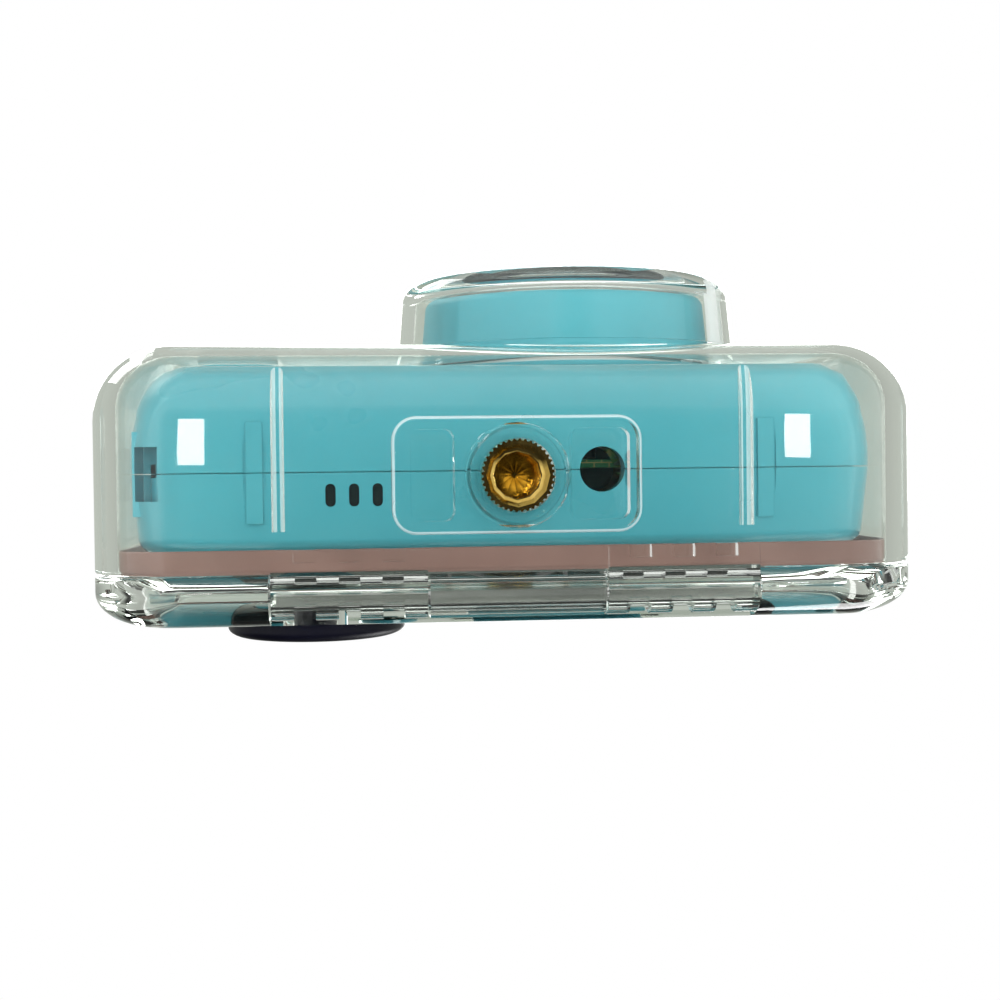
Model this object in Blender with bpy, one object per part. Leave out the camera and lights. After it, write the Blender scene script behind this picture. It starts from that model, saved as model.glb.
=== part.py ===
"""A compact digital camera inside its clear, hinged waterproof housing.

Frame: +Z up, the lens faces -Y, +X is on the right when seen from the front.
The origin is under the middle of the whole object, on the surface it stands on.
Lengths are in metres.
"""
import math

import bmesh
import bpy
from mathutils import Vector

MM = 0.001

# Clearances
FIT_GAP = 0.3 * MM          # between pieces that touch or are glued
SHAFT_GAP = 0.1 * MM        # radial, round a shaft that turns or slides
SEAL_LIP_GAP = 0.5 * MM     # between the door's tongue and the shell
SEAL_PROUD = 0.3 * MM       # how far the door's seal stands out of its groove
SIDE_GAP = 0.65 * MM        # between the camera and the shell's side walls
FLOOR_GAP = 2.3 * MM        # under the camera, where the ribs hold it
HEAD_GAP = 3.9 * MM         # over the camera, where the plungers come down
FACE_GAP = 0.9 * MM         # before the camera's front face
BACK_GAP = 2.2 * MM         # from the camera's back to the housing's seam
PORT_GAP = 1.2 * MM         # round the lens barrel
PORT_NOSE_GAP = 2.6 * MM    # from the barrel's front to the port's
BOSS_GAP = 0.6 * MM         # between the tripod boss and the camera

# Camera, overall
CAMERA_WIDTH = 92.4 * MM
CAMERA_HEIGHT = 57.0 * MM
CAMERA_FRONT_Y = -10.9 * MM
CAMERA_SEAM_Y = 1.8 * MM
CAMERA_BACK_Y = 11.2 * MM
COVER_WALL = 1.8 * MM
CAMERA_CORNER_RADIUS = 9.0 * MM
FRONT_ROUND_INSET = 7.0 * MM
FRONT_ROUND_DEPTH = 11.5 * MM
BACK_DRAFT = 0.9 * MM
BACK_EDGE = 2.0 * MM

# Lens
LENS_X = 10.2 * MM
BARREL_RADIUS = 19.9 * MM
BARREL_TAPER = 0.8 * MM
BARREL_LENGTH = 10.1 * MM
BARREL_WALL = 2.2 * MM
FACE_THICKNESS = 2.4 * MM
FACE_SET_BACK = 1.6 * MM
LENS_WINDOW_RADIUS = 7.5 * MM
HOLDER_RADIUS = 6.0 * MM
HOLDER_BORE = 4.2 * MM
SENSOR_SIZE = 7.4 * MM

# Housing, sized round the camera
WALL = 2.6 * MM
FRONT_WALL = 1.6 * MM
HOUSING_BOTTOM = 0.6 * MM   # the tripod boss stands this far below the shell
DOOR_DEPTH = 6.2 * MM
SHELL_CORNER_RADIUS = 10.0 * MM
SHELL_FRONT_FILLET = 9.0 * MM
DOOR_EDGE_INSET = 7.5 * MM
DOOR_EDGE_DEPTH = 4.2 * MM
DOOR_FLOOR = 7.9 * MM       # thickness of the door's solid lower edge, at its back
DOOR_FLOOR_RISE = 3.5 * MM  # how much thicker that edge is at its front
TONGUE_WALL = 2.2 * MM
SEAL_GROOVE_DEPTH = 0.8 * MM
SEAL_GROOVE_LIP = 0.25 * MM
SEAL_FLAP_LENGTH = 1.2 * MM     # of the seal's thin flap past the tongue
SEAL_FLAP_THICKNESS = 0.3 * MM

# Lens port
PORT_WALL = 2.2 * MM
PORT_TAPER = 0.7 * MM
PORT_EDGE = 3.0 * MM
WINDOW_RIM = 1.4 * MM       # flat of the port's front outside the window
WINDOW_THICKNESS = 1.2 * MM
WINDOW_LEDGE = 1.2 * MM

# Hinge
KNUCKLE_RADIUS = 2.6 * MM
KNUCKLE_LIFT = 0.4 * MM     # from the ground to the knuckles
HINGE_HALF_WIDTH = 28.4 * MM
BARREL_HALF_WIDTH = 10.2 * MM
PIN_RADIUS = 1.1 * MM
KNUCKLE_SLOT_WIDTH = 2.5 * MM
KNUCKLE_SLOT_DEPTH = 1.3 * MM
KNUCKLE_FOOT_SLOT = 1.5 * MM    # length of the slots in the knuckles' feet
KNUCKLE_SLOTS = 3

# Tripod boss and insert
BOSS_WIDTH = 29.0 * MM
BOSS_DEPTH = 13.6 * MM
BOSS_Y = 2.3 * MM
BOSS_CORNER = 2.8 * MM
POCKET_FLOOR = 1.4 * MM
POCKET_DEPTH_Y = 10.6 * MM
POCKET_WEB = 1.95 * MM      # plastic between the insert and each pocket
LEFT_POCKET_EDGE = 2.2 * MM
RIGHT_POCKET_EDGE = 1.5 * MM
LEFT_WEB_EXTRA = 1.1 * MM
INSERT_RADIUS = 4.25 * MM
INSERT_CAP = 0.7 * MM       # plastic over the insert's blind end
INSERT_BORE_RADIUS = 3.2 * MM
INSERT_Y = 2.4 * MM

# Cradle ribs on the shell's floor
RIB_X = 27.5 * MM
RIB_WIDTH = 1.5 * MM
RIB_BACK_GAP = 2.6 * MM     # from the camera's back to the ribs' ends

# Top controls
SHUTTER_X = -31.0 * MM
SHUTTER_CAP_RADIUS = 6.6 * MM
SHUTTER_BUTTON_RADIUS = 5.2 * MM
POWER_X = -14.0 * MM
POWER_CAP_RADIUS = 4.6 * MM
POWER_BUTTON_RADIUS = 3.2 * MM
BUTTON_TRAVEL = 1.0 * MM
BUTTON_PROUD = 1.0 * MM
FLANGE_WIDTH = 0.9 * MM
FLANGE_HEIGHT = 0.8 * MM
PLUNGER_STEM_RADIUS = 1.5 * MM
PLUNGER_CAP_HEIGHT = 4.0 * MM
PLUNGER_BOSS_HEIGHT = 2.4 * MM
PLUNGER_BOSS_WALL = 1.8 * MM
PLUNGER_SEAL_WIDTH = 1.1 * MM
SPRING_WIRE = 0.45 * MM

# Latch
LATCH_X = 12.0 * MM
LATCH_WIDTH = 26.0 * MM
LATCH_PIVOT_Y = 3.5 * MM
LATCH_PIVOT_HEIGHT = 3.4 * MM
LATCH_BARREL_RADIUS = 2.3 * MM
LATCH_PIN_RADIUS = 0.9 * MM
LATCH_PLATE = 2.0 * MM
LUG_WIDTH = 3.0 * MM
LUG_RIM = 0.3 * MM          # how far a lug's eye stands outside the latch barrel
KEEPER_HEIGHT = 2.2 * MM
KEEPER_LENGTH = 18.0 * MM
KEEPER_THICKNESS = 2.4 * MM

# Rear panel and display
PANEL_SIDE_MARGIN = 12.2 * MM
PANEL_END_MARGIN = 6.5 * MM
PANEL_THICKNESS = 1.2 * MM
PANEL_CORNER = 3.0 * MM
DISPLAY_MARGIN = 2.0 * MM   # from the display to the panel's edge
DISPLAY_WIDTH = 46.0 * MM
DISPLAY_HEIGHT = 34.0 * MM
DISPLAY_THICKNESS = 2.0 * MM

# Direction pad
PAD_MARGIN = 10.0 * MM      # from the pad's centre to the panel's edge
PAD_DROP = 4.0 * MM         # of the pad's centre below the camera's middle
PAD_RADIUS = 11.8 * MM
PAD_HEIGHT = 3.7 * MM
PAD_STEM_RADIUS = 4.0 * MM
PAD_TRAVEL = 0.6 * MM
KEY_RING_RADIUS = 8.0 * MM
KEY_RING_INNER = 4.3 * MM
OK_KEY_RADIUS = 3.7 * MM
KEY_PROUD = 1.2 * MM
KEY_TRAVEL = 0.5 * MM
KEY_DEPTH = 3.4 * MM        # of the keys' rear faces before their front ends

# Case screws
SCREW_HEAD_RADIUS = 1.8 * MM
SCREW_HEAD_HEIGHT = 1.2 * MM
SCREW_SHANK_RADIUS = 0.9 * MM
SCREW_LENGTH = 9.0 * MM
SCREW_SINK = 0.4 * MM
SCREW_SIDE_MARGIN = 5.9 * MM
SCREW_END_MARGIN = 6.2 * MM

# Flash, grip and main board
FLASH_X = -22.0 * MM
FLASH_DROP = 12.5 * MM
FLASH_RADIUS = 3.2 * MM
GRIP_X = -33.0 * MM
GRIP_WIDTH = 10.0 * MM
GRIP_HEIGHT = 32.0 * MM
BOARD_WIDTH = 56.0 * MM
BOARD_SIDE_GAP = 8.2 * MM   # from the camera's side to the board, and to the battery
BOARD_FOOT_GAP = 4.1 * MM   # over the tripod nut
BOARD_HEAD_GAP = 8.5 * MM
BOARD_THICKNESS = 1.0 * MM
BOARD_SET_FORWARD = 1.2 * MM
SENSOR_THICKNESS = 1.6 * MM
BATTERY_WIDTH = 30.0 * MM
BATTERY_DEPTH = 6.5 * MM
BATTERY_HEAD_GAP = 5.0 * MM
SWITCH_HEIGHT = 3.0 * MM
NUT_HEIGHT = 5.0 * MM
NUT_WALL = 1.6 * MM

# Underside of the camera
FOOT_OFFSET = 2.8 * MM      # from each rib's middle to the foot beside it
FOOT_WIDTH = 2.1 * MM
FOOT_LENGTH = 11.8 * MM
FOOT_HEIGHT = 0.2 * MM
SOUND_SLOT_X = -18.8 * MM
SOUND_SLOT_PITCH = 2.75 * MM
SOUND_SLOT_Y = 4.5 * MM
SOCKET_X = 10.6 * MM
SOCKET_RADIUS = 2.7 * MM
STRAP_SLOT_EDGE = 1.6 * MM
STRAP_SLOT_WIDTH = 3.1 * MM
STRAP_SLOT_LENGTH = 6.4 * MM
STRAP_SLOT_DEPTH = 13.0 * MM

# Smoothness
CORNER_STEPS = 5
FILLET_STEPS = 4
ROUND_STEPS = 32
PORT_STEPS = 40
SMALL_STEPS = 16
OVERCUT = 1.0 * MM

# Worked out from the sizes above
SHELL_FLOOR = HOUSING_BOTTOM + WALL
CAMERA_BOTTOM = SHELL_FLOOR + FLOOR_GAP
CAMERA_TOP = CAMERA_BOTTOM + CAMERA_HEIGHT
CAMERA_MID_Z = CAMERA_BOTTOM + CAMERA_HEIGHT / 2
SHELL_CEILING = CAMERA_TOP + HEAD_GAP
HOUSING_TOP = SHELL_CEILING + WALL
HOUSING_HEIGHT = HOUSING_TOP - HOUSING_BOTTOM
HOUSING_MID_Z = HOUSING_BOTTOM + HOUSING_HEIGHT / 2
HOUSING_WIDTH = CAMERA_WIDTH + 2 * (SIDE_GAP + WALL)
SHELL_FRONT_Y = CAMERA_FRONT_Y - FACE_GAP - FRONT_WALL
SEAM_Y = CAMERA_BACK_Y + BACK_GAP
DOOR_FRONT_Y = SEAM_Y + FIT_GAP
DOOR_BACK_Y = DOOR_FRONT_Y + DOOR_DEPTH
DOOR_INNER_Y = DOOR_BACK_Y - WALL
TONGUE_INSET = WALL + SEAL_LIP_GAP
TONGUE_FRONT_Y = CAMERA_BACK_Y + 2.2 * FIT_GAP
HINGE_Y = DOOR_FRONT_Y + KNUCKLE_RADIUS
HINGE_Z = KNUCKLE_LIFT + KNUCKLE_RADIUS
LENS_Z = CAMERA_MID_Z
BARREL_FRONT_Y = CAMERA_FRONT_Y - BARREL_LENGTH
PORT_RADIUS = BARREL_RADIUS + PORT_GAP + PORT_WALL
PORT_FRONT_Y = BARREL_FRONT_Y - PORT_NOSE_GAP
WINDOW_RADIUS = PORT_RADIUS - PORT_TAPER - PORT_EDGE - WINDOW_RIM
BOSS_TOP = CAMERA_BOTTOM - BOSS_GAP
INSERT_LENGTH = BOSS_TOP - INSERT_CAP
INSERT_WEB_X = INSERT_RADIUS + POCKET_WEB
LEFT_POCKET_X = (LEFT_POCKET_EDGE - BOSS_WIDTH / 2, -INSERT_WEB_X - LEFT_WEB_EXTRA)
RIGHT_POCKET_X = (INSERT_WEB_X, BOSS_WIDTH / 2 - RIGHT_POCKET_EDGE)
RIB_BACK_Y = CAMERA_BACK_Y - RIB_BACK_GAP
FOOT_X = RIB_X + FOOT_OFFSET
STRAP_SLOT_X = (STRAP_SLOT_EDGE - CAMERA_WIDTH / 2, STRAP_SLOT_EDGE + STRAP_SLOT_WIDTH - CAMERA_WIDTH / 2)
LATCH_PIVOT_Z = HOUSING_TOP + LATCH_PIVOT_HEIGHT
PANEL_WIDTH = CAMERA_WIDTH - 2 * PANEL_SIDE_MARGIN
PANEL_HEIGHT = CAMERA_HEIGHT - 2 * PANEL_END_MARGIN
PANEL_BACK_Y = CAMERA_BACK_Y + FIT_GAP
PANEL_FRONT_Y = PANEL_BACK_Y - PANEL_THICKNESS
DISPLAY_X = PANEL_WIDTH / 2 - DISPLAY_MARGIN - DISPLAY_WIDTH / 2
PAD_X = PAD_MARGIN - PANEL_WIDTH / 2
PAD_Z = CAMERA_MID_Z - PAD_DROP
PAD_BACK_Y = DOOR_BACK_Y + PAD_HEIGHT
KEY_FACE_Y = PANEL_BACK_Y + KEY_PROUD
SCREW_HEAD_Y = CAMERA_BACK_Y - SCREW_SINK - SCREW_HEAD_HEIGHT
FLASH_Z = CAMERA_TOP - FLASH_DROP
BOARD_FRONT_Y = CAMERA_SEAM_Y - BOARD_SET_FORWARD
SENSOR_FRONT_Y = BOARD_FRONT_Y - FIT_GAP - SENSOR_THICKNESS

COLOURS = {
    "clear_plastic": ((0.86, 0.88, 0.86, 1.0), 0.06, 0.0),
    "cyan_plastic": ((0.12, 0.53, 0.62, 1.0), 0.32, 0.0),
    "black_plastic": ((0.02, 0.02, 0.025, 1.0), 0.35, 0.0),
    "black_rubber": ((0.01, 0.01, 0.018, 1.0), 0.55, 0.0),
    "seal_rubber": ((0.45, 0.33, 0.30, 1.0), 0.5, 0.0),
    "steel": ((0.62, 0.62, 0.60, 1.0), 0.25, 1.0),
    "brass": ((0.78, 0.56, 0.22, 1.0), 0.22, 1.0),
    "glass": ((0.80, 0.84, 0.86, 1.0), 0.03, 0.0),
    "board_green": ((0.03, 0.20, 0.09, 1.0), 0.5, 0.0),
    "battery_wrap": ((0.35, 0.36, 0.38, 1.0), 0.4, 0.3),
    "white_plastic": ((0.85, 0.86, 0.86, 1.0), 0.4, 0.0),
}


def clear_scene():
    for item in list(bpy.data.objects):
        bpy.data.objects.remove(item, do_unlink=True)


def material(name):
    found = bpy.data.materials.get(name)
    if found:
        return found
    made = bpy.data.materials.new(name)
    made.use_nodes = True
    colour, roughness, metallic = COLOURS[name]
    shader = made.node_tree.nodes["Principled BSDF"]
    shader.inputs["Base Color"].default_value = colour
    shader.inputs["Roughness"].default_value = roughness
    shader.inputs["Metallic"].default_value = metallic
    made.diffuse_color = colour
    return made


def along(axis, u, v, t):
    """A point at (u, v) across the axis and t along it."""
    if axis == "X":
        return Vector((t, u, v))
    if axis == "Y":
        return Vector((u, t, v))
    return Vector((u, v, t))


def skin(rings, endless=False):
    """Join equal rings of points into one closed surface, capped unless it is endless."""
    mesh = bmesh.new()
    loops = [[mesh.verts.new(point) for point in ring] for ring in rings]
    pairs = list(zip(loops, loops[1:]))
    if endless:
        pairs.append((loops[-1], loops[0]))
    for near, far in pairs:
        for index in range(len(near)):
            after = (index + 1) % len(near)
            mesh.faces.new((near[index], near[after], far[after], far[index]))
    if not endless:
        mesh.faces.new(loops[0])
        mesh.faces.new(loops[-1])
    bmesh.ops.recalc_face_normals(mesh, faces=mesh.faces)
    return mesh


def rounded_ring(axis, centre, half_u, half_v, radius, t, steps=CORNER_STEPS):
    """A rounded rectangle across an axis, at t along it."""
    ring = []
    for corner, (side_u, side_v) in enumerate(((1, 1), (-1, 1), (-1, -1), (1, -1))):
        for step in range(steps + 1):
            angle = (corner + step / steps) * math.pi / 2
            u = centre[0] + side_u * (half_u - radius) + radius * math.cos(angle)
            v = centre[1] + side_v * (half_v - radius) + radius * math.sin(angle)
            ring.append(along(axis, u, v, t))
    return ring


def circle_ring(axis, centre, radius, t, steps):
    ring = []
    for step in range(steps):
        angle = (step + 0.5) * 2 * math.pi / steps
        u = centre[0] + radius * math.cos(angle)
        v = centre[1] + radius * math.sin(angle)
        ring.append(along(axis, u, v, t))
    return ring


def turned(axis, centre, profile, steps=ROUND_STEPS, endless=False):
    """Turn a profile of (radius, place along the axis) round an axis through the centre."""
    return skin([circle_ring(axis, centre, radius, t, steps) for radius, t in profile], endless)


def tube(axis, centre, inner, outer, start, end, steps=ROUND_STEPS):
    profile = [(outer, start), (outer, end), (inner, end), (inner, start)]
    return turned(axis, centre, profile, steps, endless=True)


def disc(axis, centre, radius, start, end, steps=ROUND_STEPS):
    return turned(axis, centre, [(radius, start), (radius, end)], steps)


def slab(axis, centre, half_u, half_v, radius, start, end, edge=0.0, steps=3):
    """A rounded plate along an axis, with its two rims chamfered by edge."""
    rims = [(start, edge), (start + edge, 0.0), (end - edge, 0.0), (end, edge)]
    if edge == 0.0:
        rims = [(start, 0.0), (end, 0.0)]
    rings = []
    for t, inset in rims:
        corner = max(radius - inset, 0.3 * radius)
        rings.append(rounded_ring(axis, centre, half_u - inset, half_v - inset, corner, t, steps))
    return skin(rings)


def block(x, y, z):
    """A box between two values on each axis."""
    return skin([[Vector((a, b, t)) for a, b in ((x[0], y[0]), (x[1], y[0]), (x[1], y[1]), (x[0], y[1]))]
                 for t in z])


def extruded(axis, outline, start, end):
    """An outline of (u, v) points carried from start to end along an axis."""
    return skin([[along(axis, u, v, t) for u, v in outline] for t in (start, end)])


def arc(centre, radius, first, last, steps):
    """Points on an arc, with angles in degrees from +u towards +v."""
    points = []
    for step in range(steps + 1):
        angle = math.radians(first + (last - first) * step / steps)
        points.append((centre[0] + radius * math.cos(angle), centre[1] + radius * math.sin(angle)))
    return points


def piece(name, mesh, colour, origin=(0.0, 0.0, 0.0), parent=None):
    """Turn a bmesh in world places into an object whose origin is at a chosen point."""
    origin = Vector(origin)
    for vertex in mesh.verts:
        vertex.co -= origin
    data = bpy.data.meshes.new(name)
    mesh.to_mesh(data)
    mesh.free()
    data.materials.append(material(colour))
    data.shade_smooth()
    data.set_sharp_from_angle(angle=math.radians(35))
    made = bpy.data.objects.new(name, data)
    bpy.context.scene.collection.objects.link(made)
    made.location = origin
    if parent:
        made.parent = parent
        made.location = origin - parent.location
    return made


def pivot(name, place):
    empty = bpy.data.objects.new(name, None)
    empty.location = place
    bpy.context.scene.collection.objects.link(empty)
    return empty


def combine(target, operation, mesh):
    """Add a boolean to the target, with its operand kept as a hidden wire guide."""
    index = len(target.modifiers)
    guide = piece(f"{target.name}_guide_{index}", mesh, target.data.materials[0].name)
    guide.hide_render = True
    guide.display_type = "WIRE"
    modifier = target.modifiers.new(f"{operation.lower()}_{index}", "BOOLEAN")
    modifier.operation = operation
    modifier.solver = "EXACT"
    modifier.object = guide


def cut(target, mesh):
    combine(target, "DIFFERENCE", mesh)


def fuse(target, mesh):
    combine(target, "UNION", mesh)


def quarter(steps=FILLET_STEPS):
    """(inset share, depth share) along a quarter round, from the face to the side."""
    angles = [step * math.pi / 2 / steps for step in range(steps + 1)]
    return [(1 - math.sin(angle), 1 - math.cos(angle)) for angle in angles]


# Housing -------------------------------------------------------------------


def housing_ring(inset, y):
    radius = max(SHELL_CORNER_RADIUS - inset, 1.0 * MM)
    centre = (0.0, HOUSING_MID_Z)
    return rounded_ring("Y", centre, HOUSING_WIDTH / 2 - inset, HOUSING_HEIGHT / 2 - inset, radius, y)


def shell_body():
    """The outer skin from the front face to the seam, then back along the inside."""
    inner_fillet = SHELL_FRONT_FILLET - WALL
    inner_face = SHELL_FRONT_Y + FRONT_WALL
    outer = [housing_ring(SHELL_FRONT_FILLET * inset, SHELL_FRONT_Y + SHELL_FRONT_FILLET * depth)
             for inset, depth in quarter()]
    inner = [housing_ring(WALL + inner_fillet * inset, inner_face + inner_fillet * depth)
             for inset, depth in reversed(quarter())]
    return skin(outer + [housing_ring(0.0, SEAM_Y), housing_ring(WALL, SEAM_Y)] + inner)


def knuckle_outline():
    """A hinge knuckle seen along X: a round eye with a foot running into the shell's floor."""
    root_y = SEAM_Y - WALL
    floor = SHELL_FLOOR - 0.2 * MM
    last = 180 + math.degrees(math.asin((HINGE_Z - floor) / KNUCKLE_RADIUS))
    eye = arc((HINGE_Y, HINGE_Z), KNUCKLE_RADIUS, -90, last, 12)
    return [(root_y, HINGE_Z - KNUCKLE_RADIUS)] + eye + [(root_y, floor)]


def knuckle_spans():
    inner = BARREL_HALF_WIDTH + FIT_GAP
    return ((-HINGE_HALF_WIDTH, -inner), (inner, HINGE_HALF_WIDTH))


def add_port(shell):
    base = SHELL_FRONT_Y + FRONT_WALL / 2
    centre = (LENS_X, LENS_Z)
    front_radius = PORT_RADIUS - PORT_TAPER
    rim = [(front_radius - PORT_EDGE * inset, PORT_FRONT_Y + PORT_EDGE * depth) for inset, depth in quarter()]
    fuse(shell, turned("Y", centre, rim + [(PORT_RADIUS, base)], PORT_STEPS))
    collar = PORT_RADIUS + 1.2 * MM
    ring = [(collar - 0.4 * MM, SHELL_FRONT_Y - 0.9 * MM), (collar, SHELL_FRONT_Y - 0.5 * MM), (collar, base)]
    fuse(shell, turned("Y", centre, ring, PORT_STEPS))
    inner_front = PORT_FRONT_Y + FIT_GAP / 2 + WINDOW_THICKNESS + FIT_GAP + WINDOW_LEDGE / 2
    bore = front_radius - PORT_WALL
    cut(shell, turned("Y", centre, [(bore - 1.2 * MM, inner_front), (bore, inner_front + 1.2 * MM),
                                    (bore + PORT_TAPER, SHELL_FRONT_Y + FRONT_WALL + OVERCUT)], PORT_STEPS))
    seat = PORT_FRONT_Y + FIT_GAP / 2 + WINDOW_THICKNESS + FIT_GAP
    cut(shell, turned("Y", centre, [(WINDOW_RADIUS + FIT_GAP, PORT_FRONT_Y - OVERCUT),
                                    (WINDOW_RADIUS + FIT_GAP, seat),
                                    (WINDOW_RADIUS - WINDOW_LEDGE, seat),
                                    (WINDOW_RADIUS - WINDOW_LEDGE, inner_front + OVERCUT)], PORT_STEPS))


def add_tripod_boss(shell):
    centre = (0.0, BOSS_Y)
    fuse(shell, slab("Z", centre, BOSS_WIDTH / 2, BOSS_DEPTH / 2, BOSS_CORNER, 0.0, BOSS_TOP, edge=0.4 * MM))
    top = BOSS_TOP - POCKET_FLOOR
    for low, high in (LEFT_POCKET_X, RIGHT_POCKET_X):
        middle = ((low + high) / 2, BOSS_Y)
        cut(shell, slab("Z", middle, (high - low) / 2, POCKET_DEPTH_Y / 2, 1.2 * MM, -OVERCUT, top))
    cut(shell, disc("Z", (0.0, INSERT_Y), INSERT_RADIUS + SHAFT_GAP, -OVERCUT, INSERT_LENGTH + 0.2 * MM,
                    steps=24))


def add_hinge_knuckles(shell):
    for start, end in knuckle_spans():
        fuse(shell, extruded("X", knuckle_outline(), start, end))
        pitch = (end - start) / (KNUCKLE_SLOTS + 0.5)
        for slot in range(KNUCKLE_SLOTS):
            low = start + pitch * (slot + 0.5)
            high = low + KNUCKLE_SLOT_WIDTH
            back = HINGE_Y + KNUCKLE_RADIUS
            foot = SEAM_Y - WALL / 2
            cut(shell, block((low, high), (back - KNUCKLE_SLOT_DEPTH, back + OVERCUT),
                             (HINGE_Z - KNUCKLE_RADIUS - OVERCUT, HINGE_Z + KNUCKLE_RADIUS + OVERCUT)))
            cut(shell, block((low, high), (foot - KNUCKLE_FOOT_SLOT, foot),
                             (-OVERCUT, HINGE_Z - KNUCKLE_RADIUS / 2)))
    cut(shell, disc("X", (HINGE_Y, HINGE_Z), PIN_RADIUS + SHAFT_GAP, -HINGE_HALF_WIDTH - OVERCUT,
                    HINGE_HALF_WIDTH + OVERCUT, SMALL_STEPS))


def rib_outline():
    """A rib seen along X: it rises from the middle of the floor's wall, and of its rounded front edge."""
    top = CAMERA_BOTTOM - FOOT_HEIGHT - FIT_GAP
    radius = SHELL_FRONT_FILLET - WALL / 2
    centre = (SHELL_FRONT_Y + SHELL_FRONT_FILLET, HOUSING_BOTTOM + SHELL_FRONT_FILLET)
    rise = math.degrees(math.acos((centre[1] - top) / radius))
    return [(RIB_BACK_Y, top), (RIB_BACK_Y, centre[1] - radius)] + arc(centre, radius, 270, 270 - rise, 5)


def add_cradle_ribs(shell):
    for x in (-RIB_X, RIB_X):
        fuse(shell, extruded("X", rib_outline(), x - RIB_WIDTH / 2, x + RIB_WIDTH / 2))


def lug_outline():
    base = HOUSING_TOP - WALL / 2
    eye = (LATCH_PIVOT_Y, LATCH_PIVOT_Z)
    radius = LATCH_BARREL_RADIUS + LUG_RIM
    return [(LATCH_PIVOT_Y - 5.0 * MM, base)] + [(LATCH_PIVOT_Y + 5.0 * MM, base)] + arc(eye, radius, 0, 180, 8)


def lug_spans():
    inner = LATCH_WIDTH / 2 + FIT_GAP
    outer = inner + LUG_WIDTH
    return ((LATCH_X - outer, LATCH_X - inner), (LATCH_X + inner, LATCH_X + outer))


def add_latch_lugs(shell):
    for start, end in lug_spans():
        fuse(shell, extruded("X", lug_outline(), start, end))
    spans = lug_spans()
    cut(shell, disc("X", (LATCH_PIVOT_Y, LATCH_PIVOT_Z), LATCH_PIN_RADIUS + SHAFT_GAP,
                    spans[0][0] - OVERCUT, spans[1][1] + OVERCUT, SMALL_STEPS))


def plunger_sizes():
    """(name, x, cap radius, camera button radius) for the two controls on top."""
    return (("shutter", SHUTTER_X, SHUTTER_CAP_RADIUS, SHUTTER_BUTTON_RADIUS),
            ("power", POWER_X, POWER_CAP_RADIUS, POWER_BUTTON_RADIUS))


def add_plunger_bosses(shell):
    for _, x, cap, _ in plunger_sizes():
        centre = (x, CAMERA_SEAM_Y)
        well = cap + 2 * FIT_GAP
        boss_top = HOUSING_TOP + PLUNGER_BOSS_HEIGHT
        outer = well + PLUNGER_BOSS_WALL
        rim = [(outer, HOUSING_TOP - WALL / 2), (outer, boss_top - 0.5 * MM), (outer - 0.5 * MM, boss_top)]
        fuse(shell, turned("Z", centre, rim, 20))
        cut(shell, disc("Z", centre, well, HOUSING_TOP, boss_top + OVERCUT, 20))
        cut(shell, disc("Z", centre, PLUNGER_STEM_RADIUS + SHAFT_GAP, SHELL_CEILING - OVERCUT,
                        HOUSING_TOP + OVERCUT / 2, SMALL_STEPS))
        cut(shell, disc("Z", centre, seal_radius() + FIT_GAP / 2, SHELL_CEILING - OVERCUT,
                        SHELL_CEILING + PLUNGER_SEAL_WIDTH + FIT_GAP, SMALL_STEPS))


def seal_radius():
    return PLUNGER_STEM_RADIUS + PLUNGER_SEAL_WIDTH


def build_housing_front(parent):
    shell = piece("housing_front", shell_body(), "clear_plastic", parent=parent)
    add_tripod_boss(shell)
    add_hinge_knuckles(shell)
    add_cradle_ribs(shell)
    add_latch_lugs(shell)
    add_plunger_bosses(shell)
    add_port(shell)


def build_port_window(parent):
    start = PORT_FRONT_Y + FIT_GAP / 2
    profile = [(WINDOW_RADIUS - 0.3 * MM, start), (WINDOW_RADIUS, start + 0.3 * MM),
               (WINDOW_RADIUS, start + WINDOW_THICKNESS)]
    centre = (LENS_X, start, LENS_Z)
    piece("port_window", turned("Y", (LENS_X, LENS_Z), profile, PORT_STEPS), "glass", centre, parent)


def build_tripod_insert(parent):
    """A knurled brass insert, blind, with a chamfered mouth."""
    knurls = 30
    teeth = []
    for index in range(2 * knurls):
        radius = INSERT_RADIUS if index % 2 else INSERT_RADIUS - 0.25 * MM
        angle = index * math.pi / knurls
        teeth.append((radius * math.cos(angle), INSERT_Y + radius * math.sin(angle)))
    insert = piece("tripod_insert", extruded("Z", teeth, 0.05 * MM, INSERT_LENGTH), "brass",
                   (0.0, INSERT_Y, 0.0), parent)
    mouth = [(INSERT_BORE_RADIUS + 0.7 * MM, -0.2 * MM), (INSERT_BORE_RADIUS, 0.7 * MM),
             (INSERT_BORE_RADIUS, INSERT_LENGTH - 0.6 * MM)]
    cut(insert, turned("Z", (0.0, INSERT_Y), mouth, steps=24))


def build_hinge_pin(parent):
    reach = HINGE_HALF_WIDTH - FIT_GAP
    edge = 0.3 * MM
    profile = [(PIN_RADIUS - edge, -reach), (PIN_RADIUS, -reach + edge), (PIN_RADIUS, reach - edge),
               (PIN_RADIUS - edge, reach)]
    piece("hinge_pin", turned("X", (HINGE_Y, HINGE_Z), profile, SMALL_STEPS), "steel",
          (0.0, HINGE_Y, HINGE_Z), parent)


def build_latch_pin(parent):
    spans = lug_spans()
    centre = (LATCH_X, LATCH_PIVOT_Y, LATCH_PIVOT_Z)
    piece("latch_pin", disc("X", (LATCH_PIVOT_Y, LATCH_PIVOT_Z), LATCH_PIN_RADIUS,
                            spans[0][0] + FIT_GAP, spans[1][1] - FIT_GAP, 12), "steel", centre, parent)


def keeper_top():
    return HOUSING_TOP + KEEPER_HEIGHT


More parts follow.
